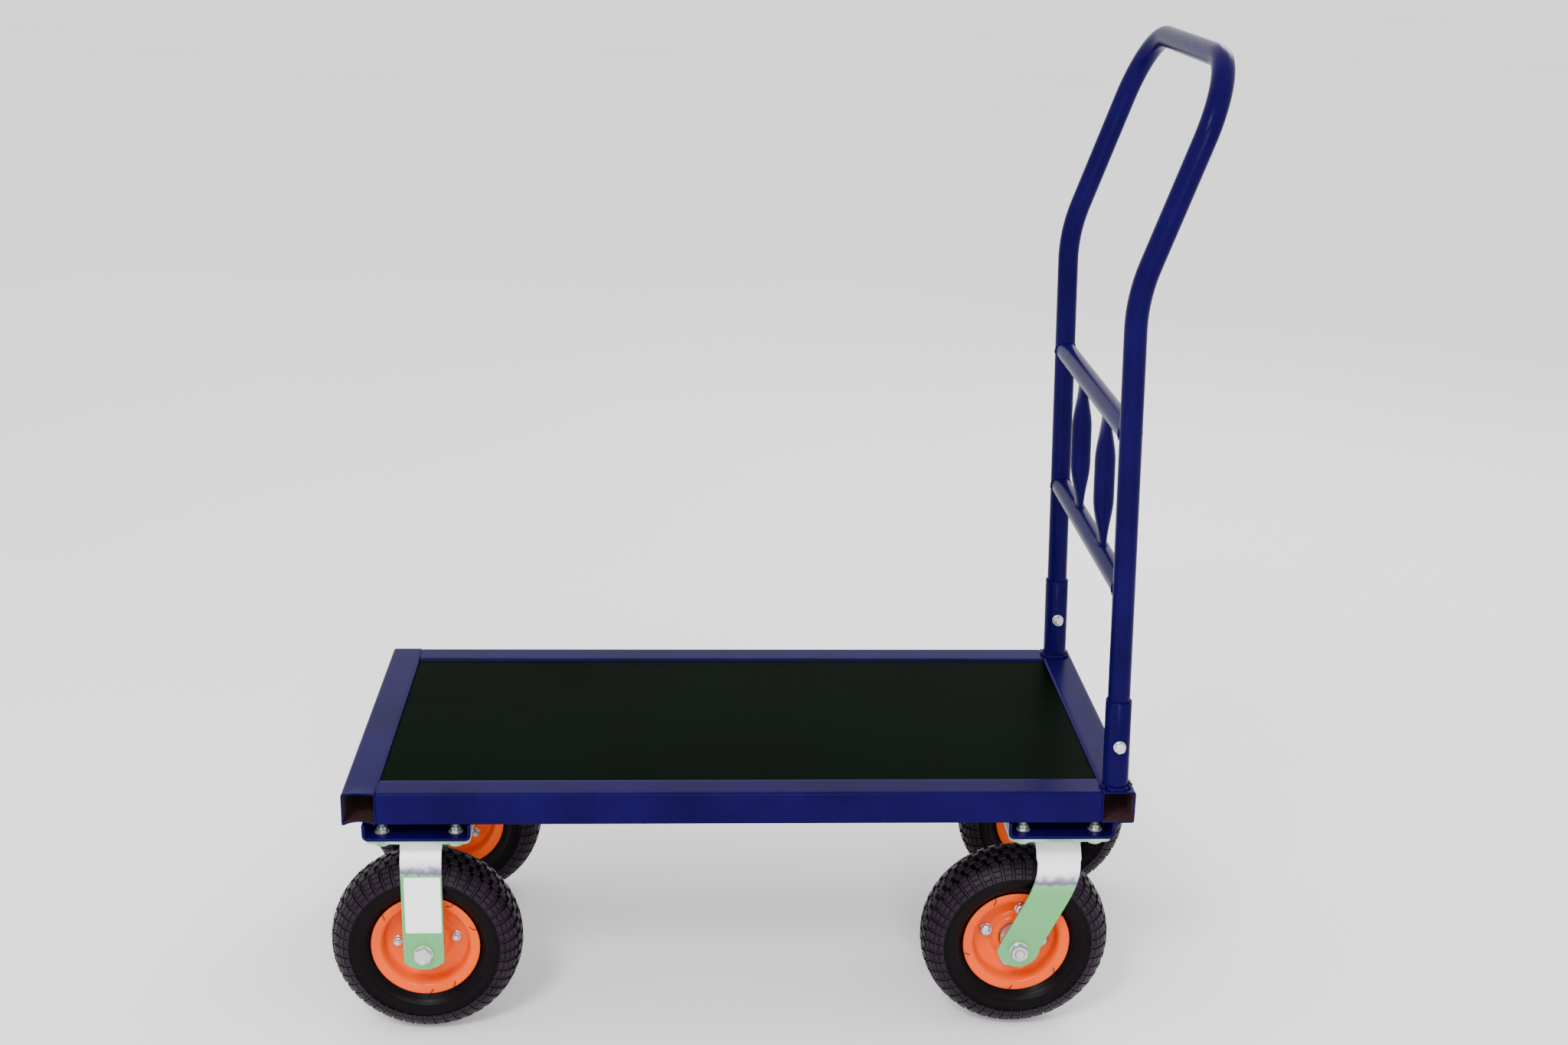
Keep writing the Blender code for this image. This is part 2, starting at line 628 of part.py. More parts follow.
def build_rear_caster(side, deck, plate_top):
    """A swivel caster: plate, ball race and kingpin are fixed, the fork turns about the kingpin."""
    sign = SIDES[side]
    name = f"rear_{side}"
    plate, under = build_plate(f"{name}_plate", deck, CHANNEL_CENTRE, sign * CASTER_Y, plate_top)
    race_top = under - GAP
    race_low = race_top - RACE_HEIGHT
    lower_cup = RACE_RADIUS - RACE_STEP
    race_profile = [(KINGPIN_HOLE, 0), (lower_cup, 0), (RACE_RADIUS, -RACE_STEP), (RACE_RADIUS, -RACE_HEIGHT / 2),
                    (lower_cup, -RACE_HEIGHT / 2 - RACE_STEP), (lower_cup, -RACE_HEIGHT),
                    (KINGPIN_HOLE, -RACE_HEIGHT)]
    race_place = Matrix.Translation((SWIVEL_AXIS, sign * CASTER_Y, race_top))
    race = turned(f"{name}_race", race_profile, 20, smooth_angle=50)
    add_object(f"{name}_race", race, "zinc", deck, race_place)

    swivel = add_empty(f"{name}_swivel", (SWIVEL_AXIS, sign * CASTER_Y, 0), deck)
    trail = SWIVEL_AXIS - REAR_AXLES[side]
    crown_z = race_low - GAP + AXLE_BELOW_DECK
    mesh = fork_mesh(f"{name}_fork", crown_z, trail, FORK_CROWN_HALF_WIDTH["rear"], rear_fork_end())
    axle_point = Vector((-trail, 0, -AXLE_BELOW_DECK))
    fork = add_object(f"{name}_fork", mesh, "zinc", swivel, Matrix.Translation(axle_point))
    across = Matrix.Translation(axle_point) @ Matrix.Rotation(math.pi / 2, 4, "X") @ OFF_SEAMS
    cut(fork, cylinder_cutter(f"{name}_axle_hole", AXLE_HOLE, AXLE_CUTTER_LENGTH, across, swivel))

    pin_top = plate_top - GAP
    crown_low = race_low - GAP - FORK_SHEET
    head_radius, head_height = KINGPIN_HEAD
    head_top = crown_low - GAP
    pin_place = Matrix.Translation((SWIVEL_AXIS, sign * CASTER_Y, 0))
    pin_profile = [(0, pin_top), (KINGPIN_RADIUS, pin_top), (KINGPIN_RADIUS, head_top),
                   (head_radius, head_top), (head_radius, head_top - head_height * 0.7),
                   (head_radius * 0.8, head_top - head_height), (0, head_top - head_height)]
    add_object(f"{name}_kingpin", turned(f"{name}_kingpin", pin_profile, 16), "zinc", deck, pin_place)
    pin_hole_place = pin_place @ Matrix.Translation((0, 0, race_top)) @ OFF_SEAMS
    pin_hole_name = f"{name}_kingpin_hole"
    pin_hole = cylinder_cutter(pin_hole_name, KINGPIN_HOLE, KINGPIN_CUTTER_LENGTH, pin_hole_place, deck, 16)
    cut(plate, pin_hole)
    cut(fork, pin_hole)

    build_axle_fasteners(name, swivel, axle_point, -sign)
    axle = add_empty(f"{name}_axle", axle_point, swivel)
    build_wheel(name, axle, sign)


# ------------------------------------------------------------------ push handle
def leg_axis(height):
    """Point on the centre plane of the handle's legs, at a height above the deck, on the upright stretch."""
    return Vector((LEG_FOOT + math.tan(LEG_LEAN) * height, 0, height))


def handle_side_path():
    """The leg's centreline in the XZ plane: upright stretch, lean bend, then the leaning stretch's end."""
    up_low = Vector((math.sin(LEG_LEAN), 0, math.cos(LEG_LEAN)))
    up_high = Vector((math.sin(GRIP_LEAN), 0, math.cos(GRIP_LEAN)))
    path = [leg_axis(0.0015), leg_axis(LEG_STRAIGHT)]
    turn = GRIP_LEAN - LEG_LEAN
    side = Vector((up_low.z, 0, -up_low.x))
    centre = path[-1] + side * LEAN_BEND_RADIUS
    steps = 4
    for step in range(1, steps + 1):
        angle = turn * step / steps
        path.append(centre - LEAN_BEND_RADIUS * (math.cos(angle) * side - math.sin(angle) * up_low))
    reach = (GRIP_HEIGHT - path[-1].z) / up_high.z
    return path, up_high, path[-1] + up_high * reach


def handle_path():
    """The whole handle's centreline, from the left foot over the grip bar to the right foot."""
    side_path, up_high, top = handle_side_path()
    left = [point - Vector((0, HANDLE_Y, 0)) for point in side_path]
    corner_start = top - up_high * CORNER_RADIUS
    corner = []
    steps = 6
    for step in range(steps + 1):
        angle = math.pi / 2 * step / steps
        inward = CORNER_RADIUS * (1 - math.cos(angle))
        rise = CORNER_RADIUS * math.sin(angle)
        corner.append(corner_start + up_high * rise - Vector((0, HANDLE_Y - inward, 0)))
    half = left + corner
    mirrored = [Vector((p.x, -p.y, p.z)) for p in half[::-1]]
    return half + mirrored


def leaning_cylinder(name, y, low, high, radius, bore=0.0, count=16):
    """An upright cylinder or tube about a leg's axis, with level ends, in the deck's frame."""
    bm = bmesh.new()

    def ring(size, height):
        centre = leg_axis(height) + Vector((0, y, 0))
        return [bm.verts.new(p) for p in circle(centre, Vector((1, 0, 0)), Vector((0, 1, 0)), size, count)]

    if bore:
        rings = [ring(radius, low), ring(radius, high), ring(bore, high), ring(bore, low)]
        ring_faces(bm, rings, closed=True)
    else:
        rings = [ring(radius, low), ring(radius, high)]
        ring_faces(bm, rings, closed=False)
        bm.faces.new(rings[0])
        bm.faces.new(rings[1])
    return finish_mesh(bm, name, smooth_angle=50)


def build_handle(deck):
    """Sockets on the rear end tube, the bent handle tube in them, two crossbars and two balusters."""
    tube_mesh = swept_tube("handle_tube", handle_path(), HANDLE_RADIUS, HANDLE_RADIUS - HANDLE_WALL)
    tube = add_object("handle_tube", tube_mesh, "blue_paint", deck)
    copes = []
    for side, sign in SIDES.items():
        y = sign * HANDLE_Y
        socket_name = f"{side}_handle_socket"
        socket_mesh = leaning_cylinder(socket_name, y, GAP, SOCKET_HEIGHT, SOCKET_RADIUS, SOCKET_BORE)
        socket = add_object(socket_name, socket_mesh, "blue_paint", deck)
        bolt_point = leg_axis(HANDLE_BOLT_HEIGHT) + Vector((0, y, 0))
        towards_head = Matrix.Rotation(-math.pi / 2 * sign, 4, "X")
        hole_place = Matrix.Translation(bolt_point) @ towards_head
        hole_name = f"{side}_handle_bolt_hole"
        hole = cylinder_cutter(hole_name, HANDLE_BOLT_RADIUS + GAP, HANDLE_CUTTER_LENGTH, hole_place, deck)
        cut(socket, hole)
        cut(tube, hole)
        build_handle_fasteners(side, deck, bolt_point, sign)
        cope_mesh = leaning_cylinder(f"{side}_cope", y, *COPE_HEIGHTS, HANDLE_RADIUS + GAP, count=20)
        copes.append(hide_cutter(add_object(f"{side}_cope", cope_mesh, None, deck)))

    bar_cuts = []
    for level, height in CROSSBAR_HEIGHTS.items():
        centre = leg_axis(height)
        path = [centre - Vector((0, HANDLE_Y, 0)), centre + Vector((0, HANDLE_Y, 0))]
        mesh = swept_tube(f"{level}_crossbar", path, CROSSBAR_RADIUS, CROSSBAR_RADIUS - HANDLE_WALL)
        bar = add_object(f"{level}_crossbar", mesh, "blue_paint", deck)
        for cope in copes:
            cut(bar, cope)
        along_y = Matrix.Translation(centre) @ Matrix.Rotation(math.pi / 2, 4, "X")
        cut_name = f"{level}_bar_cut"
        bar_cut = cylinder_cutter(cut_name, CROSSBAR_RADIUS + GAP, BAR_CUT_LENGTH, along_y, deck, 20)
        bar_cuts.append(bar_cut)

    for side, sign in SIDES.items():
        mesh = baluster_mesh(f"{side}_baluster")
        place = Matrix.Translation((0, sign * BALUSTER_Y, 0))
        baluster = add_object(f"{side}_baluster", mesh, "blue_paint", deck, place)
        for bar_cut in bar_cuts:
            cut(baluster, bar_cut)


def build_handle_fasteners(side, deck, bolt_point, sign):
    seat = SOCKET_RADIUS + GAP
    length = 2 * seat + M8_WASHER[1] + M8_NUT_HEIGHT + 0.0020
    bolt = hex_bolt(f"{side}_handle_bolt", HANDLE_BOLT_RADIUS, length, M8_FLATS, M8_HEAD_HEIGHT, M8_WASHER)
    nut = hex_nut(f"{side}_handle_nut", HANDLE_BOLT_RADIUS + GAP, M8_FLATS, M8_NUT_HEIGHT, M8_WASHER)
    outward = Vector((0, sign * seat, 0))
    bolt_place = Matrix.Translation(bolt_point + outward) @ Matrix.Rotation(-math.pi / 2 * sign, 4, "X")
    nut_place = Matrix.Translation(bolt_point - outward) @ Matrix.Rotation(math.pi / 2 * sign, 4, "X")
    add_object(f"{side}_handle_bolt", bolt, "zinc", deck, bolt_place)
    add_object(f"{side}_handle_nut", nut, "zinc", deck, nut_place)


def baluster_mesh(name):
    """A round tube between the crossbars, pressed flat at both ends."""
    low = CROSSBAR_HEIGHTS["lower"] + BALUSTER_OVERLAP
    high = CROSSBAR_HEIGHTS["upper"] - BALUSTER_OVERLAP
    bm = bmesh.new()
    rings = []
    steps = 8
    count = 12
    for step in range(steps + 1):
        share = step / steps
        flat = max(0.0, 1 - min(share, 1 - share) / BALUSTER_TAPER)
        eased = flat * flat * (3 - 2 * flat)
        half_x = BALUSTER_RADIUS + (BALUSTER_END[0] - BALUSTER_RADIUS) * eased
        half_y = BALUSTER_RADIUS + (BALUSTER_END[1] - BALUSTER_RADIUS) * eased
        centre = leg_axis(low + (high - low) * share)
        turns = [2 * math.pi * k / count for k in range(count)]
        points = [(centre.x + half_x * math.cos(t), half_y * math.sin(t), centre.z) for t in turns]
        rings.append([bm.verts.new(point) for point in points])
    ring_faces(bm, rings, closed=False)
    bm.faces.new(rings[0])
    bm.faces.new(rings[-1])
    return finish_mesh(bm, name, smooth_angle=50)


def build_trolley():
    clear_scene()
    deck = add_empty("deck_frame", (SHIFT, 0, DECK_TOP))
    build_deck(deck)
    build_handle(deck)
    front_floor = build_channel("front_caster_channel", deck, -CHANNEL_CENTRE, FRONT_AXLE)
    rear_floor = build_channel("rear_caster_channel", deck, CHANNEL_CENTRE, CHANNEL_CENTRE)
    for side in SIDES:
        build_front_caster(side, deck, front_floor - GAP)
        build_rear_caster(side, deck, rear_floor - GAP)


build_trolley()
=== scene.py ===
"""The looks of a platform trolley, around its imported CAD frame.

Fine surfaces, tread, fasteners, welds and materials. Metres, in the CAD's own frame: +Z up, floor at Z = 0,
handle at +X. Left is -Y, right is +Y.
"""

import math
import random

import bmesh
import bpy
from mathutils import Matrix, Vector


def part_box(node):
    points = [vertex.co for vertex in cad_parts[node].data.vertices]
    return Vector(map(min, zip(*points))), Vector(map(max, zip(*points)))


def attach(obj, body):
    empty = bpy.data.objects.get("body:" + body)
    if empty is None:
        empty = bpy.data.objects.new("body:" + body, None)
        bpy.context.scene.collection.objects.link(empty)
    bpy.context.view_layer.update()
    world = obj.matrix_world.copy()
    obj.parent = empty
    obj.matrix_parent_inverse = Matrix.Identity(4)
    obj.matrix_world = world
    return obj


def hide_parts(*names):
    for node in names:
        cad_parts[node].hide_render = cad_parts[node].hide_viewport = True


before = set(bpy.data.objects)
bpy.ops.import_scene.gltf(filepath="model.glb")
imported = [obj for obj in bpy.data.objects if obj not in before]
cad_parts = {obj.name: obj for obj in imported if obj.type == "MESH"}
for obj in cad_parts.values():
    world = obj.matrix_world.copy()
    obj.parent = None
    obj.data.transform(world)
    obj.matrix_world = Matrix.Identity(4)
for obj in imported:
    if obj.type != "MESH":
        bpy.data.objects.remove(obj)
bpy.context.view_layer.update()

FRAME_BODY = "deck_and_handle"
SIDES = {"left": -1, "right": 1}
TAU = 2 * math.pi
random.seed(7)


# ------------------------------------------------------------------ sizes read from the frame
def middle(node):
    low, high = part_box(node)
    return (low + high) / 2


FRONT_LOW, FRONT_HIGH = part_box("front_end_tube")
REAR_LOW, REAR_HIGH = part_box("rear_end_tube")
TOP = FRONT_HIGH.z
TUBE = FRONT_HIGH.x - FRONT_LOW.x
HALF_WIDTH = FRONT_HIGH.y
DECK_X = (FRONT_LOW.x + REAR_HIGH.x) / 2
AXLES = {f"{end}_{side}": middle(f"{end}_{side}_hub") for end in ("front", "rear") for side in SIDES}
TYRE_RADIUS = AXLES["front_left"].z
SWIVEL_X = middle("rear_left_race").x
SOCKET_LOW, SOCKET_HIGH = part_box("left_handle_socket")
HANDLE_Y = -middle("left_handle_socket").y
CROSSBAR_Z = {level: middle(f"{level}_crossbar").z for level in ("lower", "upper")}
CROSSBAR_X = {level: middle(f"{level}_crossbar").x for level in ("lower", "upper")}

# ------------------------------------------------------------------ sizes of the fine detail
TUBE_WALL = 0.0022
TUBE_CORNER = 0.0035
CHANNEL_WALL = 0.004
FORK_SHEET = 0.004
FORK_HALF = 0.048             # outer face of a fork's leg from the wheel's centre plane
FORK_SHOULDER_DROP = 0.040    # crown's top down to where the legs run straight
FORK_END_STEPS = 12
HANDLE_RADIUS = 0.0140
HANDLE_BORE = HANDLE_RADIUS - 0.0015
SOCKET_RADIUS = (SOCKET_HIGH.y - SOCKET_LOW.y) / 2 + 0.0004
SOCKET_BORE = 0.0145
LEG_LEAN = math.atan2(CROSSBAR_X["upper"] - CROSSBAR_X["lower"], CROSSBAR_Z["upper"] - CROSSBAR_Z["lower"])
LEG_STRAIGHT = 0.590
GRIP_LEAN = math.radians(19.5)
LEAN_BEND_RADIUS = 0.220
GRIP_HEIGHT = 0.905
CORNER_RADIUS = 0.095
BALUSTER_Y = 0.082
HOLE_SPACING = (0.093, 0.094)
RIM_BOLT_CIRCLE = 0.0385
PITCHES = 48
TREAD_LIFT = 0.0026
SIDE_LIFT = 0.0022
CARCASS_RADIUS = TYRE_RADIUS - TREAD_LIFT


# ------------------------------------------------------------------ materials
class Surface:
    """A Principled material, patterned in the object's own coordinates."""

    def __init__(self, name):
        self.material = bpy.data.materials.new(name)
        self.material.use_nodes = True
        self.nodes = self.material.node_tree.nodes
        self.coordinates = self.nodes.new("ShaderNodeTexCoord").outputs["Object"]

    def feed(self, node, inputs):
        """Links an input that is given as another node's output, and sets one that is given as a value."""
        for name, value in inputs.items():
            if isinstance(value, bpy.types.NodeSocket):
                self.material.node_tree.links.new(value, node.inputs[name])
            else:
                node.inputs[name].default_value = value

    def node(self, kind, inputs, **settings):
        made = self.nodes.new(kind)
        for name, value in settings.items():
            setattr(made, name, value)
        self.feed(made, inputs)
        return made

    def noise(self, scale, detail, roughness=0.55, at=None):
        inputs = {"Vector": at or self.coordinates, "Scale": scale, "Detail": detail, "Roughness": roughness}
        return self.node("ShaderNodeTexNoise", inputs).outputs["Fac"]

    def stretched(self, scale):
        return self.node("ShaderNodeMapping", {"Vector": self.coordinates, "Scale": scale}).outputs["Vector"]

    def ramp(self, factor, *stops):
        """A colour ramp: stops are (position, colour), colours linear RGB."""
        made = self.node("ShaderNodeValToRGB", {"Fac": factor})
        elements = made.color_ramp.elements
        while len(elements) < len(stops):
            elements.new(0.5)
        for element, (position, colour) in zip(elements, stops):
            element.position = position
            element.color = (*colour, 1.0)
        return made.outputs["Color"]

    def spread(self, value, low, high, from_low=0.3, from_high=0.7):
        inputs = {"Value": value, "From Min": from_low, "From Max": from_high, "To Min": low, "To Max": high}
        return self.node("ShaderNodeMapRange", inputs).outputs["Result"]

    def bump(self, height, strength, distance, **under):
        inputs = {"Height": height, "Strength": strength, "Distance": distance, **under}
        return self.node("ShaderNodeBump", inputs).outputs["Normal"]

    def finish(self, inputs):
        self.feed(self.nodes["Principled BSDF"], inputs)
        return self.material


def painted(name, dark, light, roughness, peel, gloss):
    """Sprayed powder coat: broad colour drift, fine orange peel and specks of dust in the gloss."""
    paint = Surface(name)
    broad = paint.noise(9.0, 4.0)
    fine = paint.noise(420.0, 2.0)
    specks = paint.bump(paint.noise(1600.0, 1.0), 0.10, 0.0002)
    return paint.finish({"Base Color": paint.ramp(broad, (0.35, dark), (0.68, light)),
                         "Roughness": paint.spread(fine, roughness - 0.06, roughness + 0.08),
                         "Normal": paint.bump(fine, peel, 0.0006, Normal=specks),
                         "Specular IOR Level": gloss})


def tube_inside():
    """Bare steel in a tube's mouth: maroon primer overspray with brown rust blooms."""
    steel = Surface("tube_inside")
    colour = steel.ramp(steel.noise(120.0, 6.0, 0.7), (0.30, (0.006, 0.002, 0.006)),
                        (0.50, (0.028, 0.006, 0.010)),
                        (0.64, (0.070, 0.014, 0.014)), (0.78, (0.120, 0.045, 0.030)))
    return steel.finish({"Base Color": colour, "Roughness": 0.75,
                         "Normal": steel.bump(steel.noise(900.0, 3.0), 0.5, 0.0006)})


def deck_film():
    """Phenolic film on plywood: near black, its green cast a painted reflection of green surroundings, with
    faint fibre grain and fine scuffs.
    """
    film = Surface("deck_film")
    fibre = film.noise(1.6, 5.0, 0.6, film.stretched((6.0, 160.0, 20.0)))
    cloud = film.noise(3.0, 2.0)
    grain = film.node("ShaderNodeMath", {0: fibre, 1: cloud}, operation="MULTIPLY").outputs["Value"]
    # near-black film tinted green: the green is a painted reflection of the surroundings
    colour = film.ramp(grain, (0.12, (0.0001, 0.0016, 0.0002)), (0.30, (0.0002, 0.0030, 0.0005)),
                       (0.45, (0.0005, 0.0046, 0.0009)))
    return film.finish({"Base Color": colour, "Roughness": film.spread(film.noise(260.0, 4.0, 0.7), 0.30, 0.45),
                        "Normal": film.bump(fibre, 0.06, 0.0008), "Specular IOR Level": 0.005})


def panel_edge():
    """The panel's sawn edge: thin veneers, light and dark."""
    edge = Surface("panel_edge")
    layers = edge.node("ShaderNodeTexWave", {"Vector": edge.coordinates, "Scale": 110.0, "Distortion": 0.6},
                       wave_type="BANDS", bands_direction="Z")
    colour = edge.ramp(layers.outputs["Fac"], (0.3, (0.05, 0.022, 0.010)), (0.7, (0.16, 0.085, 0.040)))
    return edge.finish({"Base Color": colour, "Roughness": 0.8})


def zinc(name, dark, light, roughness, metallic):
    """Electroplated zinc: fine spangle in brightness and gloss, with drawn scratches."""
    metal = Surface(name)
    spangle = metal.noise(260.0, 4.0, 0.7)
    cloud = metal.noise(35.0, 3.0)
    scratch = metal.noise(1.0, 2.0, at=metal.stretched((900.0, 900.0, 40.0)))
    scratched = metal.bump(scratch, 0.05, 0.0003)
    return metal.finish({"Base Color": metal.ramp(cloud, (0.35, dark), (0.65, light)),
                         "Roughness": metal.spread(spangle, roughness - 0.07, roughness + 0.09),
                         "Normal": metal.bump(spangle, 0.08, 0.0003, Normal=scratched), "Metallic": metallic})


def fork_with_painted_reflections(name, bend_low, bend_high):
    """Zinc with painted reflections, banded by height: green surroundings on the flat legs, a dark band where
    the bend starts, a white backdrop over the bend.
    """
    metal = Surface(name)
    height = metal.node("ShaderNodeSeparateXYZ", {"Vector": metal.coordinates}).outputs["Z"]
    shift = metal.spread(metal.noise(95.0, 5.0, 0.7), -0.004, 0.004)
    spangle = metal.noise(300.0, 4.0, 0.7)
    ragged = metal.node("ShaderNodeMath", {0: height, 1: shift}, operation="ADD").outputs["Value"]
    share = metal.spread(ragged, 0.0, 1.0, bend_low, bend_high)
    # painted reflections by height: green low on the legs, a dark horizon band where the bend starts, white
    # over the bend
    film = metal.ramp(share, (0.0, (0.120, 0.390, 0.140)), (0.26, (0.170, 0.430, 0.190)),
                      (0.36, (0.110, 0.100, 0.160)), (0.50, (0.260, 0.240, 0.340)),
                      (0.66, (0.780, 0.760, 0.840)), (0.85, (0.960, 0.955, 0.980)))
    flecks = metal.ramp(spangle, (0.30, (0.86, 0.86, 0.86)), (0.70, (1.0, 1.0, 1.0)))
    mix = metal.node("ShaderNodeMix", {"Factor": 1.0, "A": film, "B": flecks}, data_type="RGBA",
                     blend_type="MULTIPLY")
    return metal.finish({"Base Color": mix.outputs["Result"], "Roughness": metal.spread(spangle, 0.34, 0.52),
                         "Normal": metal.bump(spangle, 0.10, 0.0003), "Metallic": 0.30})


def rubber(name, dark, light, roughness, gloss):
    """Moulded tyre rubber: matt, with bloom in patches and a fine grain."""
    tyre = Surface(name)
    bloom = tyre.noise(22.0, 5.0, 0.65)
    return tyre.finish({"Base Color": tyre.ramp(bloom, (0.32, dark), (0.72, light)),
                        "Roughness": tyre.spread(bloom, roughness - 0.08, roughness + 0.08),
                        "Normal": tyre.bump(tyre.noise(700.0, 2.0), 0.18, 0.0004), "Specular IOR Level": gloss})


def paper():
    sheet = Surface("label_paper")
    fibre = sheet.noise(500.0, 4.0)
    colour = sheet.ramp(fibre, (0.3, (0.86, 0.86, 0.88)), (0.7, (0.94, 0.94, 0.96)))
    return sheet.finish({"Base Color": colour, "Roughness": sheet.spread(fibre, 0.35, 0.50)})


BLUE = painted("blue_paint", (0.0030, 0.0004, 0.034), (0.0052, 0.0009, 0.052), 0.24, 0.06, 0.030)
ORANGE = painted("orange_paint", (0.70, 0.058, 0.0), (0.86, 0.088, 0.0), 0.18, 0.06, 0.14)
TUBE_INSIDE = tube_inside()
FILM = deck_film()
PANEL_EDGE = panel_edge()
BRIGHT = zinc("bright_zinc", (0.42, 0.41, 0.44), (0.66, 0.66, 0.68), 0.22, 0.75)
# dull zinc tinted green: the green is a painted reflection of green surroundings
DULL_ZINC_GREEN_REFLECTION = zinc("dull_zinc_green_reflection", (0.15, 0.34, 0.17), (0.40, 0.58, 0.40), 0.42, 0.60)
# the forks' colours are painted reflections of their surroundings, banded by height
FIXED_FORK = fork_with_painted_reflections("fixed_fork_painted_reflections", 0.226, 0.262)
SWIVEL_FORK = fork_with_painted_reflections("swivel_fork_painted_reflections", 0.206, 0.244)
# The tread blocks use a lighter, glossier copy of the sidewall rubber as painted light where they face the
# lamps; the carcass between them keeps the rubber's own dark colour, which also serves as painted shade in the
# gaps.
RUBBER = rubber("tyre_sidewall", (0.0010, 0.0005, 0.0009), (0.0026, 0.0014, 0.0024), 0.34, 0.07)
TREAD_PAINTED_LIGHT = rubber("tyre_tread", (0.0060, 0.0028, 0.0064), (0.0170, 0.0085, 0.0175), 0.42, 0.12)
LABEL = paper()


# ------------------------------------------------------------------ shapes: (vertices, faces) pairs
def loft(rings, closed=False):
    """Quads between rings of points, capped at both ends, or from the last ring to the first if closed."""
    count = len(rings[0])
    vertices = [Vector(point) for ring in rings for point in ring]
    faces = []
    for low in range(len(rings) if closed else len(rings) - 1):
        high = (low + 1) % len(rings)
        for k in range(count):
            after = (k + 1) % count
            faces.append((low * count + k, low * count + after, high * count + after, high * count + k))
    if not closed:
        faces.append(tuple(range(count)))
        faces.append(tuple((len(rings) - 1) * count + k for k in range(count)))
    return vertices, faces


def joined(shapes):
    vertices = []
    faces = []
    for points, polygons in shapes:
        start = len(vertices)
        vertices.extend(points)
        faces.extend(tuple(start + k for k in polygon) for polygon in polygons)
    return vertices, faces


def moved(shape, matrix):
    return [matrix @ point for point in shape[0]], shape[1]


def smooth_curve(points, steps):
    """Catmull-Rom curve through 2-D or 3-D points."""
    points = [Vector(p) for p in points]
    ends = [2 * points[0] - points[1]] + points + [2 * points[-1] - points[-2]]
    curve = []
    for k in range(1, len(ends) - 2):
        p0, p1, p2, p3 = ends[k - 1], ends[k], ends[k + 1], ends[k + 2]
        for step in range(steps):
            t = step / steps
            bend = (2 * p0 - 5 * p1 + 4 * p2 - p3) * t * t + (3 * p1 - p0 - 3 * p2 + p3) * t ** 3
            curve.append(0.5 * (2 * p1 + (p2 - p0) * t + bend))
    curve.append(points[-1])
    return curve


def turns(count):
    """The angles of a full turn in equal steps."""
    return [TAU * k / count for k in range(count)]


def circle(centre, radius, count, radius_y=None):
    """Level points round a centre, on an ellipse if its radius along Y is given too."""
    radius_y = radius if radius_y is None else radius_y
    return [Vector(centre) + Vector((radius * math.cos(t), radius_y * math.sin(t), 0)) for t in turns(count)]


def turned(profile, count):
    """Revolves (radius, height) points about Y: height runs along -Y, towards a left wheel's outer side."""
    rings = []
    for radius, height in profile:
        rings.append([Vector((radius * math.cos(t), -height, radius * math.sin(t))) for t in turns(count)])
    return loft(rings, closed=True)


def tube_along(path, radius, count, bore=0.0):
    """A round rod or tube along a path of points."""
    outer = []
    inner = []
    across = (path[1] - path[0]).normalized().orthogonal().normalized()
    for k, point in enumerate(path):
        heading = (path[min(k + 1, len(path) - 1)] - path[max(k - 1, 0)]).normalized()
        across = (across - across.dot(heading) * heading).normalized()
        up = heading.cross(across)
        ring = [math.cos(t) * across + math.sin(t) * up for t in turns(count)]
        outer.append([point + radius * direction for direction in ring])
        inner.append([point + bore * direction for direction in ring])
    if bore:
        return loft(outer + inner[::-1], closed=True)
    return loft(outer)


def rounded_rectangle(width, depth, radius, steps=5):
    """Outline of a rectangle with round corners, about the origin."""
    points = []
    for quarter, (sx, sy) in enumerate(((1, 1), (-1, 1), (-1, -1), (1, -1))):
        for step in range(steps + 1):
            angle = math.pi / 2 * (quarter + step / steps)
            points.append((sx * (width / 2 - radius) + radius * math.cos(angle),
                           sy * (depth / 2 - radius) + radius * math.sin(angle)))
    return points


def make_piece(name, shape, material, body=FRAME_BODY, replaces=(), smooth=35, bevel=0.0, place=None):
    """A finished piece: mesh, material, smooth shading, its body and the CAD nodes it stands for."""
    mesh = bpy.data.meshes.new(name)
    mesh.from_pydata([tuple(p) for p in shape[0]], [], shape[1])
    bm = bmesh.new()
    bm.from_mesh(mesh)
    bmesh.ops.recalc_face_normals(bm, faces=bm.faces)
    bm.to_mesh(mesh)
    bm.free()
    mesh.shade_smooth()
    mesh.set_sharp_from_angle(angle=math.radians(smooth))
    mesh.materials.append(material)
    return place_piece(name, mesh, body, replaces, bevel, place)


def place_piece(name, mesh, body, replaces, bevel, place):
    piece = bpy.data.objects.new(name, mesh)
    bpy.context.scene.collection.objects.link(piece)
    if place is not None:
        piece.matrix_world = place
        bpy.context.view_layer.update()
    if bevel:
        rounding = piece.modifiers.new("rounded_edges", "BEVEL")
        rounding.width = bevel
        rounding.segments = 2
        rounding.limit_method = "ANGLE"
        rounding.angle_limit = math.radians(40)
    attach(piece, body)
    if replaces:
        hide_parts(*replaces)
    return piece


def finish_node(node, material):
    """A CAD node that stays, with a better material."""
    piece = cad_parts[node]
    if piece.material_slots:
        for held in piece.material_slots:
            held.material = material
    else:
        piece.data.materials.append(material)


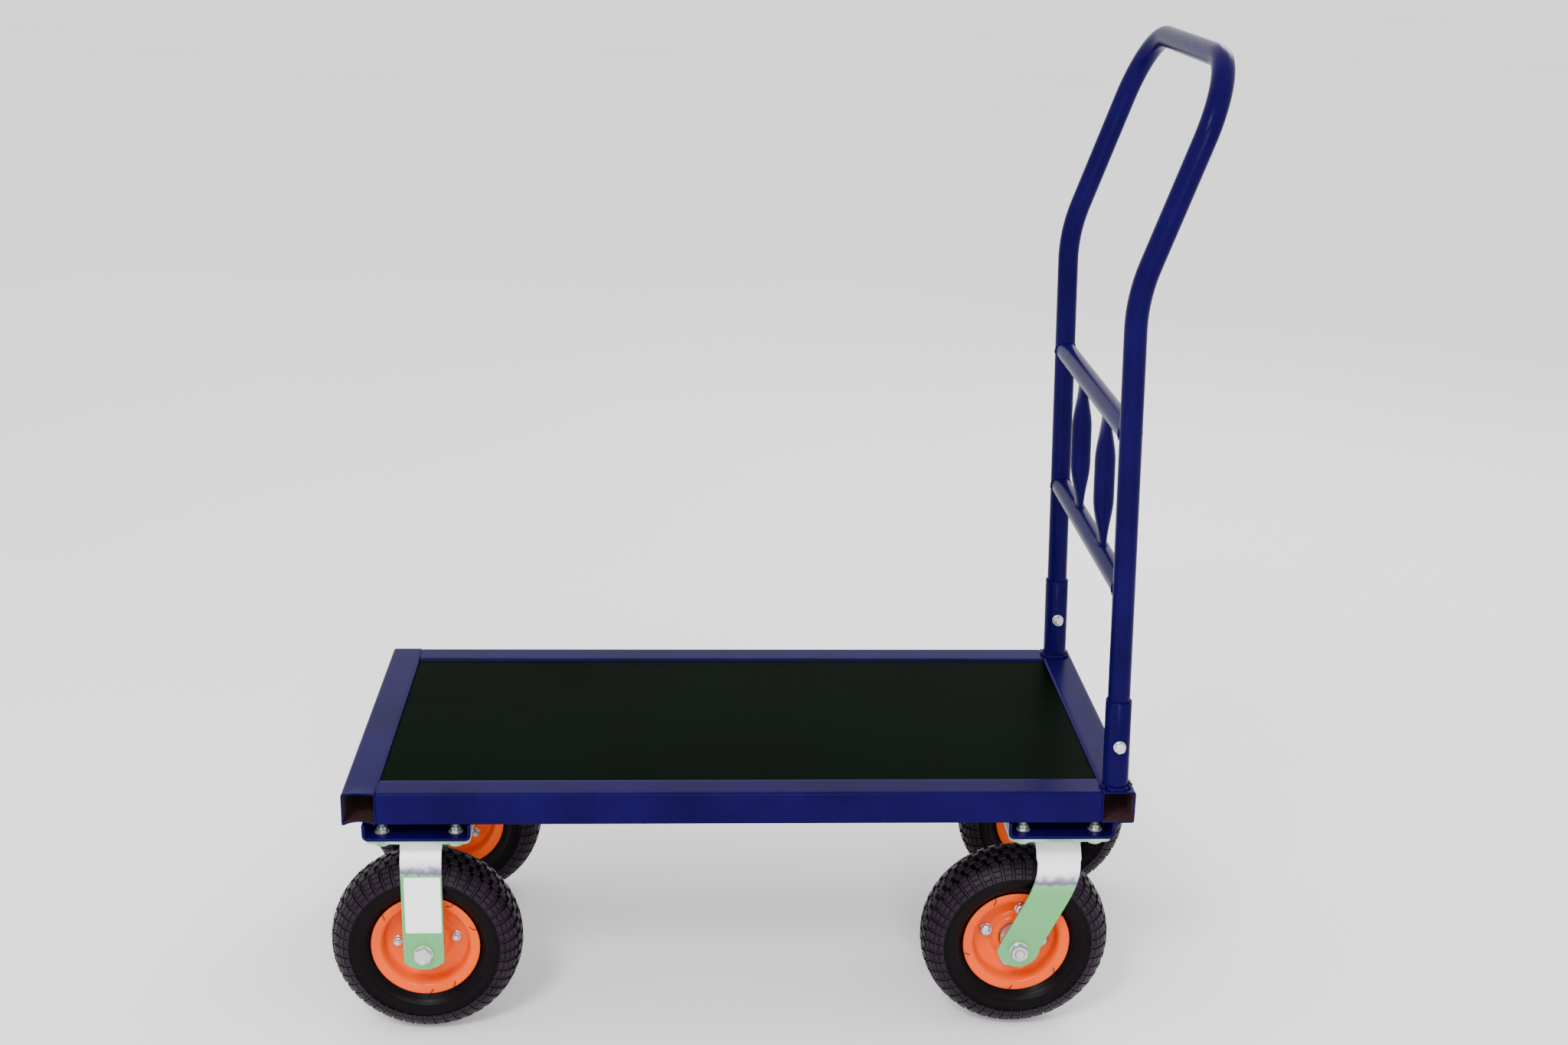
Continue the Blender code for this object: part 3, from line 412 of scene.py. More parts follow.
def bead(path, radius, closed=False, ripple=0.0016):
    """A weld bead: a lumpy rod along a path, its ripples about as long as its own radius."""
    rings = []
    total = len(path)
    for k, point in enumerate(path):
        ahead = path[(k + 1) % total] if closed else path[min(k + 1, total - 1)]
        behind = path[k - 1] if closed else path[max(k - 1, 0)]
        heading = (ahead - behind).normalized()
        across = heading.orthogonal().normalized()
        up = heading.cross(across)
        taper = 1.0 if closed else min(1.0, 0.35 + 2.2 * min(k, total - 1 - k) / total)
        swell = radius * taper * (0.82 + 0.22 * (k % 3) / 2 + random.uniform(-0.12, 0.16))
        drift = Vector([random.uniform(-1, 1) * ripple * 0.25 for _ in range(3)])
        rings.append([point + drift + swell * (math.cos(t) * across + math.sin(t) * up) for t in turns(10)])
    return loft(rings, closed)


# ------------------------------------------------------------------ deck frame
def mouth_dent(share_across, depth_in, top):
    """How far a tube's wall is pushed out of line near its cut end."""
    fade = max(0.0, 1 - depth_in / 0.030) ** 2
    arch = 1 - (2 * share_across - 1) ** 2
    return fade * (0.0014 * arch if top else 0.0062 * arch - 0.0012)


def with_flat_points(outline):
    """Adds points along an outline's four long sides, so that they can bend."""
    count = 7
    sides = [(Vector(a), Vector(b)) for a, b in zip(outline, outline[1:] + outline[:1])]
    longest = max((b - a).length for a, b in sides)
    points = []
    for a, b in sides:
        points.append(a)
        if (b - a).length > longest / 2:
            points += [a.lerp(b, k / (count + 1)) for k in range(1, count + 1)]
    return points


def square_tube(low, high, along, dented_end):
    """A square hollow section, open at both ends: its shape, its outer skin's ring count and a ring's size."""
    centre = (low + high) / 2
    axis = 0 if along == "X" else 1
    half = (high[axis] - low[axis]) / 2
    bore = TUBE - 2 * TUBE_WALL
    outer = with_flat_points(rounded_rectangle(TUBE, TUBE, TUBE_CORNER))
    inner = with_flat_points(rounded_rectangle(bore, bore, TUBE_CORNER - TUBE_WALL))
    edge = 0.0004
    near_mouth = (edge, 0.006, 0.012, 0.018, 0.024, 0.030)
    stations = [-half + depth for depth in near_mouth] + [half - 0.010, half - edge]

    def ring(outline, at, shrink=0.0):
        points = []
        scale = 1 - shrink / (TUBE / 2)
        for a, b in outline:
            z = b * scale
            if dented_end:
                z += mouth_dent(a / TUBE + 0.5, at + half, b > 0)
            point = Vector((at, a * scale, z)) if axis == 0 else Vector((a * scale, at, z))
            points.append(centre + point)
        return points

    skin = [ring(outer, -half, edge)] + [ring(outer, at) for at in stations] + [ring(outer, half, edge)]
    lining = [ring(inner, half)] + [ring(inner, at) for at in stations[::-1]] + [ring(inner, -half)]
    return loft(skin + lining, closed=True), len(skin), len(outer)


def build_frame_tube(node, along, dented_end=False):
    low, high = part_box(node)
    shape, skin_rings, ring_size = square_tube(low, high, along, dented_end)
    piece = make_piece(f"{node}_body", shape, BLUE, replaces=(node,), smooth=40)
    piece.data.materials.append(TUBE_INSIDE)
    lining_start = skin_rings * ring_size
    for polygon in piece.data.polygons:
        if min(polygon.vertices) >= lining_start:
            polygon.material_index = 1


def build_deck_frame():
    build_frame_tube("front_end_tube", "Y", dented_end=True)
    build_frame_tube("rear_end_tube", "Y")
    for side in SIDES:
        build_frame_tube(f"{side}_side_rail", "X")
    bottom = TOP - TUBE
    for side, sign in SIDES.items():
        for end, x in (("front", FRONT_HIGH.x), ("rear", REAR_LOW.x)):
            face_y = sign * (HALF_WIDTH - 0.0004)
            top = [Vector((x, sign * (HALF_WIDTH - 0.004 - 0.0032 * k), TOP - 0.0003)) for k in range(11)]
            face = [Vector((x, face_y, bottom + 0.003 + 0.0011 * k)) for k in range(6)]
            under = [Vector((x, sign * (HALF_WIDTH - 0.004 - 0.003 * k), bottom + 0.0002)) for k in range(12)]
            shapes = [bead(top, 0.0009), bead(face, 0.0010), bead(under, 0.0015)]
            make_piece(f"{end}_{side}_corner_weld", joined(shapes), BLUE, smooth=60)


def build_panel():
    low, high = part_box("deck_panel")
    size = high - low
    outline = rounded_rectangle(size.x, size.y, 0.0015, 3)
    centre = (low + high) / 2
    inset = 0.0005
    rings = []
    for grow, z in ((-inset, low.z), (0, low.z + inset), (0, high.z - inset), (-inset, high.z)):
        scale_x = 1 + grow / (size.x / 2)
        scale_y = 1 + grow / (size.y / 2)
        rings.append([Vector((centre.x + x * scale_x, centre.y + y * scale_y, z)) for x, y in outline])
    piece = make_piece("deck_panel_board", loft(rings), FILM, replaces=("deck_panel",), smooth=30)
    piece.data.materials.append(PANEL_EDGE)
    for polygon in piece.data.polygons:
        if abs(polygon.normal.z) < 0.3:
            polygon.material_index = 1


def build_channel(node):
    """The folded cross-member, with eight steps round each bend and softened cut edges."""
    low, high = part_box(node)
    half = (high.x - low.x) / 2
    wall = CHANNEL_WALL
    bend = 2 * wall
    steps = 8

    def corner(sign, radius):
        quarter = [math.pi / 2 * step / steps for step in range(steps + 1)]
        return [(sign * (half - bend + radius * math.cos(t)), low.z + bend - radius * math.sin(t))
                for t in quarter]

    outline = [(half, high.z)] + corner(1, bend) + corner(-1, bend)[::-1]
    outline += [(-half, high.z), (-half + wall, high.z)]
    outline += corner(-1, bend - wall) + corner(1, bend - wall)[::-1] + [(half - wall, high.z)]
    centre_x = (low.x + high.x) / 2
    rings = [[Vector((centre_x + x, y, z)) for x, z in outline] for y in (low.y, high.y)]
    make_piece(f"{node}_body", loft(rings), BLUE, replaces=(node,), smooth=40, bevel=0.0005)


# ------------------------------------------------------------------ fasteners
def hexagon_ring(flats, height, round_to=None):
    """Points of a hexagon at a height along +Z; round_to trims its corners to a circle."""
    points = []
    for angle in turns(48):
        from_flat = (angle + math.pi / 6) % (math.pi / 3) - math.pi / 6
        size = flats / 2 / math.cos(math.pi / 6 - abs(from_flat))
        if round_to:
            size = min(size, round_to)
        points.append(Vector((size * math.cos(angle), size * math.sin(angle), height)))
    return points


def round_ring(radius, height, count=48):
    return circle((0, 0, height), radius, count)


def washer_rings(radius, height):
    edge = min(0.0003, height / 3)
    return [round_ring(radius - edge, 0.0), round_ring(radius, edge), round_ring(radius, height - edge),
            round_ring(radius - edge, height)]


def bolt_shape(radius, length, flats, head, washer_radius, washer_height):
    """A hexagon bolt along Z: shank down from height 0, washer and chamfered head above."""
    tip = 0.0012
    pitch = radius * 0.28
    thread_turns = int(min(length * 0.35, 0.022) / pitch)
    rings = [round_ring(radius - tip, -length), round_ring(radius * 0.96, -length + tip)]
    for turn in range(thread_turns):
        base = -length + tip + turn * pitch
        rings.append(round_ring(radius * 0.88, base + pitch * 0.45))
        rings.append(round_ring(radius * 0.99, base + pitch * 0.95))
    rings += [round_ring(radius * 0.99, 0.0)] + washer_rings(washer_radius, washer_height)
    top = washer_height + head
    shoulder = head * 0.16
    rings += [hexagon_ring(flats, washer_height), hexagon_ring(flats, top - shoulder)]
    rings += [hexagon_ring(flats, top - shoulder * 0.35, round_to=flats * 0.535),
              hexagon_ring(flats, top, round_to=flats * 0.475), round_ring(flats * 0.30, top - 0.0001),
              round_ring(flats * 0.28, top - 0.0004)]
    return loft(rings)


def nut_shape(bore, flats, height, washer_radius, washer_height):
    """A hexagon nut on its washer, both chamfered, standing on height 0."""
    top = washer_height + height
    rings = [round_ring(bore, 0.0)] + washer_rings(washer_radius, washer_height)
    rings += [hexagon_ring(flats, washer_height + 0.0004, round_to=flats * 0.54),
              hexagon_ring(flats, washer_height + height * 0.16),
              hexagon_ring(flats, top - height * 0.16),
              hexagon_ring(flats, top - 0.0003, round_to=flats * 0.53),
              hexagon_ring(flats, top, round_to=flats * 0.48), round_ring(bore + 0.0006, top),
              round_ring(bore, top - 0.0006)]
    return loft(rings, closed=True)


def facing(direction):
    """Turns +Z to a direction."""
    return Vector((0, 0, 1)).rotation_difference(Vector(direction)).to_matrix().to_4x4()


def fasten(name, shape, seat, direction, spin, material=BRIGHT, body=FRAME_BODY, replaces=(), smooth=30):
    """A bolt, nut or stem, seated at a point with its +Z turned to a direction."""
    place = Matrix.Translation(seat) @ facing(direction) @ spin
    make_piece(name, moved(shape, place), material, body, replaces, smooth)


def build_plate_fasteners():
    """Flange nuts on the channel's web, with the bolts' ends standing out of them, heads below the plate."""
    nut = nut_shape(0.0041, 0.0118, 0.0060, 0.0094, 0.0016)
    corners = [(sx, sy) for sx in (-1, 1) for sy in (-1, 1)]
    for end in ("front", "rear"):
        web_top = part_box(f"{end}_caster_channel")[0].z + CHANNEL_WALL
        for side in SIDES:
            plate_low, plate_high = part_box(f"{end}_{side}_plate")
            centre = (plate_low + plate_high) / 2
            bolt = bolt_shape(0.0040, web_top - plate_low.z + 0.0155, 0.0165, 0.0062, 0.0098, 0.0014)
            for number, (sx, sy) in enumerate(corners, 1):
                x = centre.x + sx * HOLE_SPACING[0] / 2
                y = centre.y + sy * HOLE_SPACING[1] / 2
                spin = Matrix.Rotation(random.uniform(0, TAU), 4, "Z")
                head_seat = (x, y, plate_low.z - 0.0002)
                nut_seat = (x, y, web_top + 0.0002)
                fasten(f"{end}_{side}_plate_bolt_{number}", bolt, head_seat, (0, 0, -1), spin, DULL_ZINC_GREEN_REFLECTION)
                fasten(f"{end}_{side}_plate_nut_{number}", nut, nut_seat, (0, 0, 1), spin)


def build_axle_fasteners(name, body, head_sign):
    """The axle bolt and nut through both fork legs, in place of their plain CAD solids."""
    axle = AXLES[name]
    bolt_low, bolt_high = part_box(f"{name}_axle_bolt")
    legs_low, legs_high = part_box(f"{name}_fork")
    head_face, nut_face = (legs_high.y, legs_low.y) if head_sign > 0 else (legs_low.y, legs_high.y)
    bolt = bolt_shape(0.0058, bolt_high.y - bolt_low.y - 0.0093, 0.0208, 0.0088, 0.0122, 0.0020)
    nut = nut_shape(0.0060, 0.0200, 0.0105, 0.0122, 0.0020)
    tilt = Matrix.Rotation(math.radians(22), 4, "Z")
    for part, shape, face, sign in (("bolt", bolt, head_face, head_sign), ("nut", nut, nut_face, -head_sign)):
        node = f"{name}_axle_{part}"
        seat = (axle.x, face + sign * 0.0004, axle.z)
        fasten(f"{node}_fine", shape, seat, (0, sign, 0), tilt, BRIGHT, body, (node,))


# ------------------------------------------------------------------ forks
def fork_section():
    """(Y offset, Z below the crown's top) along a leg's outer face, from the crown's middle down."""
    start = Vector((0.020, 0.0))
    knee = Vector((0.030, -0.003))
    low_knee = Vector((FORK_HALF, -FORK_SHOULDER_DROP * 0.72))
    end = Vector((FORK_HALF, -FORK_SHOULDER_DROP))
    points = [Vector((0.010, 0.0))]
    steps = 16
    for step in range(steps + 1):
        t = step / steps
        s = 1 - t
        points.append(s ** 3 * start + 3 * s ** 2 * t * knee + 3 * s * t * t * low_knee + t ** 3 * end)
    return points


def soft_ramp(value, softness):
    """0 below, value above, with a round transition."""
    if value <= -softness:
        return 0.0
    if value >= softness:
        return value
    return (value + softness) ** 2 / (4 * softness)


def swept_end(left, right, lean):
    """(left, right, drop) of a swivel fork's end below its axle: round, its trailing corner clipped."""
    rows = []
    for step in range(1, FORK_END_STEPS + 1):
        angle = math.pi / 2 * step / FORK_END_STEPS * 0.93
        drop = 0.0250 * math.sin(angle)
        narrow = math.cos(angle)
        clipped = max(0.0270 - abs(lean) * drop * 0.2 - max(0.0, drop - 0.009) * 1.55, 0.002)
        if lean > 0:
            rows.append((left * narrow, max(right * narrow, min(clipped, right)), drop))
        else:
            rows.append((min(left * narrow, -min(clipped, -left)), right * narrow, drop))
    return rows


def straight_end():
    """(left, right, drop) of a fixed fork's end below its axle: straight edges, then one flat arc."""
    straight, arc_height, arc_radius, arc_drop = 0.0130, 0.0104, 0.0378, 0.0106
    rows = []
    for step in range(FORK_END_STEPS):
        drop = straight + arc_height * step / (FORK_END_STEPS - 1)
        half = math.sqrt(arc_radius ** 2 - (arc_radius - arc_drop + drop - straight) ** 2)
        rows.append((-half, half, drop))
    return rows


def fork_shape(crown_z, axle, head_x):
    """A pressed fork: crown, shoulders and two flat legs that end round the axle.

    head_x is where the crown's middle is along X: the swivel axis, or the axle itself on a fixed fork.
    """
    trail = head_x - axle.x
    swept = abs(trail) > 0.001
    bend_start = 0.0984
    lean = trail / bend_start
    crown_half, leg_half = (0.0290, 0.0278) if swept else (0.0265, 0.0262)
    rows = [(p.x, crown_z + p.y) for p in fork_section()]
    low = rows[-1][1]
    rows += [(FORK_HALF, low + (axle.z - low) * step / 10) for step in range(1, 11)]
    outline = []
    for y, z in rows:
        middle_x = axle.x + trail - lean * soft_ramp(bend_start - (z - axle.z), 0.030)
        half = crown_half if z > crown_z - 0.020 else leg_half
        outline.append((middle_x - half, middle_x + half, y, z))
    end_rows = swept_end(outline[-1][0] - axle.x, outline[-1][1] - axle.x, lean) if swept else straight_end()
    outline += [(axle.x + left, axle.x + right, FORK_HALF, axle.z - drop) for left, right, drop in end_rows]

    chamfer = 0.0006
    loops_one_side = []
    for k, (left, right, y, z) in enumerate(outline):
        before = outline[max(k - 1, 0)]
        after = outline[min(k + 1, len(outline) - 1)]
        run = Vector((after[2] - before[2], after[3] - before[3]))
        run = Vector((1.0, 0.0)) if k == 0 else run.normalized()
        inward = Vector((run.y, -run.x))
        section = [(left + chamfer, 0.0), (right - chamfer, 0.0), (right, chamfer),
                   (right, FORK_SHEET - chamfer),
                   (right - chamfer, FORK_SHEET), (left + chamfer, FORK_SHEET), (left, FORK_SHEET - chamfer),
                   (left, chamfer)]
        loops_one_side.append([(x, y + inward.x * depth, z + inward.y * depth) for x, depth in section])
    mirrored = [[(x, -y, z) for x, y, z in loop] for loop in loops_one_side[::-1]]
    return loft([[Vector((x, axle.y + y, z)) for x, y, z in loop] for loop in mirrored + loops_one_side])


def build_fork(name, body, head_x, material):
    shape = fork_shape(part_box(f"{name}_fork")[1].z, AXLES[name], head_x)
    make_piece(f"{name}_fork_pressing", shape, material, body, (f"{name}_fork",), smooth=40)


def build_fixed_crown_weld(name):
    """The bead that joins a fixed fork's crown to its plate, along both of the crown's long edges."""
    weld_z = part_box(f"{name}_fork")[1].z - 0.0012
    axle = AXLES[name]
    shapes = []
    for sign in (-1, 1):
        path = [Vector((axle.x - 0.025 + 0.0018 * k, axle.y + sign * 0.0225, weld_z)) for k in range(29)]
        shapes.append(bead(path, 0.0028))
    make_piece(f"{name}_crown_weld", joined(shapes), DULL_ZINC_GREEN_REFLECTION, smooth=60)


def build_race(name):
    """The swivel head: upper cup, ball groove with its seal, and lower cup."""
    low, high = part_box(f"{name}_race")
    centre = (low + high) / 2
    tall = high.z - low.z
    bore = 0.0087
    edge = (high.x - low.x) / 2
    profile = [(bore, 0.0), (edge - 0.0050, 0.0), (edge - 0.0020, -0.0010), (edge - 0.0004, -0.0032),
               (edge, -0.0050), (edge, -0.0088), (edge - 0.0008, -0.0096), (edge - 0.0048, -0.0100),
               (edge - 0.0054, -0.0108), (edge - 0.0052, -0.0116), (edge - 0.0032, -0.0122),
               (edge - 0.0030, -0.0150), (edge - 0.0042, -0.0176), (edge - 0.0075, -tall + 0.0004),
               (edge - 0.0110, -tall), (bore, -tall)]
    rings = [circle((centre.x, centre.y, high.z + z), radius, 72) for radius, z in profile]
    make_piece(f"{name}_race_cups", loft(rings, closed=True), DULL_ZINC_GREEN_REFLECTION, replaces=(f"{name}_race",))


# ------------------------------------------------------------------ wheels
def tyre_side():
    """(radius, offset) points of one side of the carcass, from the bead to the middle of the tread."""
    top = CARCASS_RADIUS
    return [(0.0592, 0.0165), (0.0592, 0.0240), (0.0640, 0.0256), (0.0705, 0.0258), (0.0735, 0.0282),
            (0.0780, 0.0328), (0.0822, 0.0358), (0.0829, 0.0368), (0.0836, 0.0367), (0.0900, 0.0384),
            (0.0926, 0.0388), (0.0932, 0.0395), (0.0939, 0.0388), (0.0990, 0.0378), (0.1050, 0.0350),
            (0.1105, 0.0305), (0.1155, 0.0245), (0.1190, 0.0175), (top - 0.0012, 0.0100), (top, 0.0)]


class TreadSurface:
    """The carcass's outer side by arc length, for laying tread blocks on."""

    def __init__(self):
        self.points = smooth_curve(tyre_side(), 8)
        self.length = [0.0]
        for a, b in zip(self.points, self.points[1:]):
            self.length.append(self.length[-1] + (b - a).length)

    def at(self, u):
        """(point, outward normal) at arc length u; u past the middle continues on the other side."""
        total = self.length[-1]
        mirrored = u > total
        u = 2 * total - u if mirrored else u
        k = 1
        while k < len(self.length) - 1 and self.length[k] < u:
            k += 1
        share = (u - self.length[k - 1]) / max(self.length[k] - self.length[k - 1], 1e-9)
        point = self.points[k - 1].lerp(self.points[k], share)
        run = (self.points[k] - self.points[k - 1]).normalized()
        normal = Vector((-run.y, run.x))
        if mirrored:
            return Vector((point.x, -point.y)), Vector((normal.x, -normal.y))
        return point, normal

    def u_at_radius(self, radius):
        for u, point in zip(self.length, self.points):
            if point.x >= radius and point.y > 0.012:
                return u
        return self.length[-1]


def tread_block(surface, u_low, u_high, half_low, half_high, angle, side, lift, slant=0.0):
    """One rubber block on the carcass, between two arc lengths, with bevelled edges."""
    edge = 0.0005
    sink = 0.0012
    rings = []
    for u, share, top in ((u_low, 0, lift - edge), (u_low + edge, 0.06, lift),
                          ((u_low + u_high) / 2, 0.5, lift),
                          (u_high - edge, 0.94, lift), (u_high, 1, lift - edge)):
        point, normal = surface.at(u)
        half = half_low + (half_high - half_low) * share
        offset = slant * (share - 0.5)
        section = [(-half, -sink), (-half, top - edge), (-half + edge, top), (half - edge, top),
                   (half, top - edge),
                   (half, -sink)]
        ring = []
        for across, rise in section:
            radius = point.x + normal.x * rise
            height = point.y + normal.y * rise
            turn = angle + (across + offset) / radius
            ring.append(Vector((radius * math.cos(turn), -side * height, radius * math.sin(turn))))
        rings.append(ring)
    return loft(rings)


def tyre_tread(surface):
    """Shoulder blocks cut in four, a narrow lug between each two, and two rows of crown knobs a side."""
    shapes = []
    inner = surface.u_at_radius(0.0965)
    outer = surface.u_at_radius(0.1172)
    crown = surface.length[-1]
    pitch = TAU / PITCHES
    gap = 0.0008
    span = (outer - inner) / 4
    for k in range(PITCHES):
        for side in (-1, 1):
            angle = pitch * (k + (0.25 if side > 0 else -0.25))
            for part in range(4):
                low = inner + part * span
                shapes.append(tread_block(surface, low + gap / 2, low + span - gap / 2, 0.0042 + 0.0003 * part,
                                          0.0045 + 0.0003 * part, angle, side, SIDE_LIFT))
            shapes.append(tread_block(surface, inner, outer - 0.004, 0.0019, 0.0010, angle + pitch / 2, side,
                                      SIDE_LIFT - 0.0008))
            row = (crown - outer - 0.0016) / 2
            for part in range(2):
                low = outer + 0.0012 + part * row
                turn = angle + pitch / 2 * (part + 0.5)
                shapes.append(tread_block(surface, low, low + row - 0.0014, 0.0050, 0.0046, turn, side,
                                          TREAD_LIFT,
                                          0.0010 * side))
    return joined(shapes)


def rim_half():
    """A pressed rim half: bearing boss, bolting disc, dished wall and rolled flange."""
    open_side = [(0.0206, 0.0118), (0.0216, 0.0134), (0.0240, 0.0140), (0.0268, 0.0134), (0.0296, 0.0110),
                 (0.0322, 0.0076), (0.0345, 0.0061), (0.0370, 0.0058), (0.0480, 0.0058), (0.0512, 0.0062),
                 (0.0534, 0.0078), (0.0546, 0.0110), (0.0553, 0.0180), (0.0562, 0.0228), (0.0582, 0.0262),
                 (0.0610, 0.0276), (0.0640, 0.0282), (0.0672, 0.0286), (0.0694, 0.0284), (0.0704, 0.0276)]
    tyre_side_points = [(0.0702, 0.0266), (0.0680, 0.0261), (0.0640, 0.0259), (0.0606, 0.0246),
                        (0.0589, 0.0215), (0.0585, 0.0100), (0.0583, 0.0018), (0.0570, 0.0004),
                        (0.0552, 0.0006), (0.0535, 0.0030), (0.0500, 0.0034), (0.0370, 0.0034),
                        (0.0335, 0.0042), (0.0300, 0.0080), (0.0262, 0.0108),
                        (0.0222, 0.0110)]
    fine = smooth_curve(open_side, 3) + smooth_curve(tyre_side_points, 2)
    return turned([(p.x, p.y) for p in fine], 96)


def hub_shape():
    """Hub barrel between its shoulders, with a bearing boss at each end and the flange in the middle."""
    side = [(0.0065, 0.0434), (0.0100, 0.0434), (0.0105, 0.0429), (0.0105, 0.0345), (0.0150, 0.0340),
            (0.0192, 0.0334), (0.0200, 0.0322), (0.0200, 0.0034), (0.0462, 0.0030), (0.0468, 0.0024)]
    profile = side + [(r, -h) for r, h in side[::-1]]
    return turned(profile, 64)


def build_wheels():
    surface = TreadSurface()
    outer_side = [(p.x, p.y) for p in surface.points]
    lining_points = [(0.1100, 0.0), (0.1040, 0.0190), (0.0900, 0.0265), (0.0740, 0.0215), (0.0650, 0.0150)]
    lining = smooth_curve(lining_points, 3)
    profile = outer_side + [(r, -h) for r, h in outer_side[-2::-1]]
    profile += [(p.x, -p.y) for p in lining[::-1]] + [(p.x, p.y) for p in lining[1:]]
    carcass = turned(profile, 144)
    tread = tyre_tread(surface)
    rim = rim_half()
    hub = hub_shape()
    first_angle = {"front_left": 5, "front_right": 45, "rear_left": 78, "rear_right": 20}
    meshes = {}
    for name, axle in AXLES.items():
        sign = -1 if name.endswith("left") else 1
        body = f"{name}_wheel"
        place = Matrix.Translation(axle) @ Matrix.Rotation(0.0 if sign < 0 else math.pi, 4, "Z")
        flipped = place @ Matrix.Rotation(math.pi, 4, "Z")
        parts = (("tyre_carcass", carcass, RUBBER, "tyre", place, 50),
                 ("tyre_tread", tread, TREAD_PAINTED_LIGHT, "tyre", place, 28),
                 ("outer_rim_pressing", rim, ORANGE, "outer_rim", place, 50),
                 ("inner_rim_pressing", rim, ORANGE, "inner_rim", flipped, 50),
                 ("hub_barrel", hub, BRIGHT, "hub", place, 35))
        for part, shape, material, node, where, smooth in parts:
            label = f"{name}_{part}"
            replaced = (f"{name}_{node}",)
            if part in meshes:
                place_piece(label, meshes[part], body, replaced, 0.0, where)
            else:
                meshes[part] = make_piece(label, shape, material, body, replaced, smooth, place=where).data
        head_side = -sign if name == "front_left" else sign
        build_rim_fasteners(name, body, axle, head_side, math.radians(first_angle[name]))
        build_valve(name, body, axle, sign, math.radians(first_angle[name] + 135))


def build_rim_fasteners(name, body, axle, head_side, start):
    """Four bolts that hold the rim halves together: low round-cornered heads on one side, nuts on the other."""
    face = 0.0060
    bolt = loft([round_ring(0.0030, -2 * face - 0.0085), round_ring(0.0036, -2 * face - 0.0078),
                 round_ring(0.0036, 0.0), round_ring(0.0092, 0.0), round_ring(0.0096, 0.0005),
                 round_ring(0.0095, 0.0014), round_ring(0.0088, 0.0021),
                 hexagon_ring(0.0158, 0.0024, round_to=0.0086),
                 hexagon_ring(0.0154, 0.0046, round_to=0.0083), round_ring(0.0070, 0.0062),
                 round_ring(0.0048, 0.0071), round_ring(0.0024, 0.0075), round_ring(0.0006, 0.0076)])
    nut = nut_shape(0.0037, 0.0105, 0.0052, 0.0066, 0.0008)
    for number in range(4):
        angle = start + number * math.pi / 2
        at = axle + Vector((RIM_BOLT_CIRCLE * math.cos(angle), 0, RIM_BOLT_CIRCLE * math.sin(angle)))
        spin = Matrix.Rotation(angle * 1.7, 4, "Z")
        for part, shape, sign, smooth in (("bolt", bolt, head_side, 40), ("nut", nut, -head_side, 30)):
            seat = at + Vector((0, sign * face, 0))
            fasten(f"{name}_rim_{part}_{number + 1}", shape, seat, (0, sign, 0), spin, BRIGHT, body,
                   smooth=smooth)


def build_valve(name, body, axle, sign, angle):
    """The inner tube's valve stem and cap, out of the dished wall on the wheel's inner side."""
    direction = Vector((math.cos(angle), 0, math.sin(angle)))
    foot = axle + direction * 0.0560 - Vector((0, sign * 0.0165, 0))
    lean = (-direction * 0.80 - Vector((0, sign * 0.60, 0))).normalized()
    profile = ((0.0042, -0.001), (0.0042, 0.0015), (0.0028, 0.0030), (0.0026, 0.0120), (0.0036, 0.0122),
               (0.0037, 0.0190), (0.0028, 0.0205))
    stem = loft([round_ring(radius, height, 24) for radius, height in profile])
    fasten(f"{name}_valve", stem, foot, lean, Matrix.Identity(4), RUBBER, body, smooth=40)


def build_mould_hairs():
    """Short rubber hairs left by the mould's vents, bent over the rim's edge."""
    angles = {"front_left": (20, 58, 138, 272, 300), "rear_left": (35, 115, 190, 262, 318),
              "front_right": (80, 200), "rear_right": (40, 160, 250)}
    for name, places in angles.items():
        sign = -1 if name.endswith("left") else 1
        shapes = []
        for degrees in places:
            path = []
            for share in (0, 0.2, 0.4, 0.6, 0.8, 1):
                radius = 0.0740 - 0.0105 * share
                height = 0.0290 + 0.0030 * math.sin(math.pi * share) + 0.0004
                angle = math.radians(degrees) + 0.10 * share * share
                at = Vector((radius * math.cos(angle), sign * height, radius * math.sin(angle)))
                path.append(AXLES[name] + at)
            shapes.append(tube_along(path, 0.0005, 8))
        make_piece(f"{name}_mould_hairs", joined(shapes), RUBBER, f"{name}_wheel", smooth=60)


# ------------------------------------------------------------------ push handle
def leg_axis(z):
    """A point on the leg's axis in the XZ plane, at a height in the frame, on the upright stretch."""
    return Vector((CROSSBAR_X["lower"] + math.tan(LEG_LEAN) * (z - CROSSBAR_Z["lower"]), 0, z))


def handle_side_path():
    """Upright stretch, the bend into the lean, and where the leaning stretch meets the grip bar's axis."""
    up_low = Vector((math.sin(LEG_LEAN), 0, math.cos(LEG_LEAN)))
    up_high = Vector((math.sin(GRIP_LEAN), 0, math.cos(GRIP_LEAN)))
    path = [leg_axis(TOP + 0.0015 + (LEG_STRAIGHT - 0.0015) * step / 12) for step in range(13)]
    turn = GRIP_LEAN - LEG_LEAN
    side = Vector((up_low.z, 0, -up_low.x))
    centre = path[-1] + side * LEAN_BEND_RADIUS
    for step in range(1, 15):
        angle = turn * step / 14
        path.append(centre - LEAN_BEND_RADIUS * (math.cos(angle) * side - math.sin(angle) * up_low))
    top = path[-1] + up_high * ((TOP + GRIP_HEIGHT - path[-1].z) / up_high.z)
    return path, up_high, top


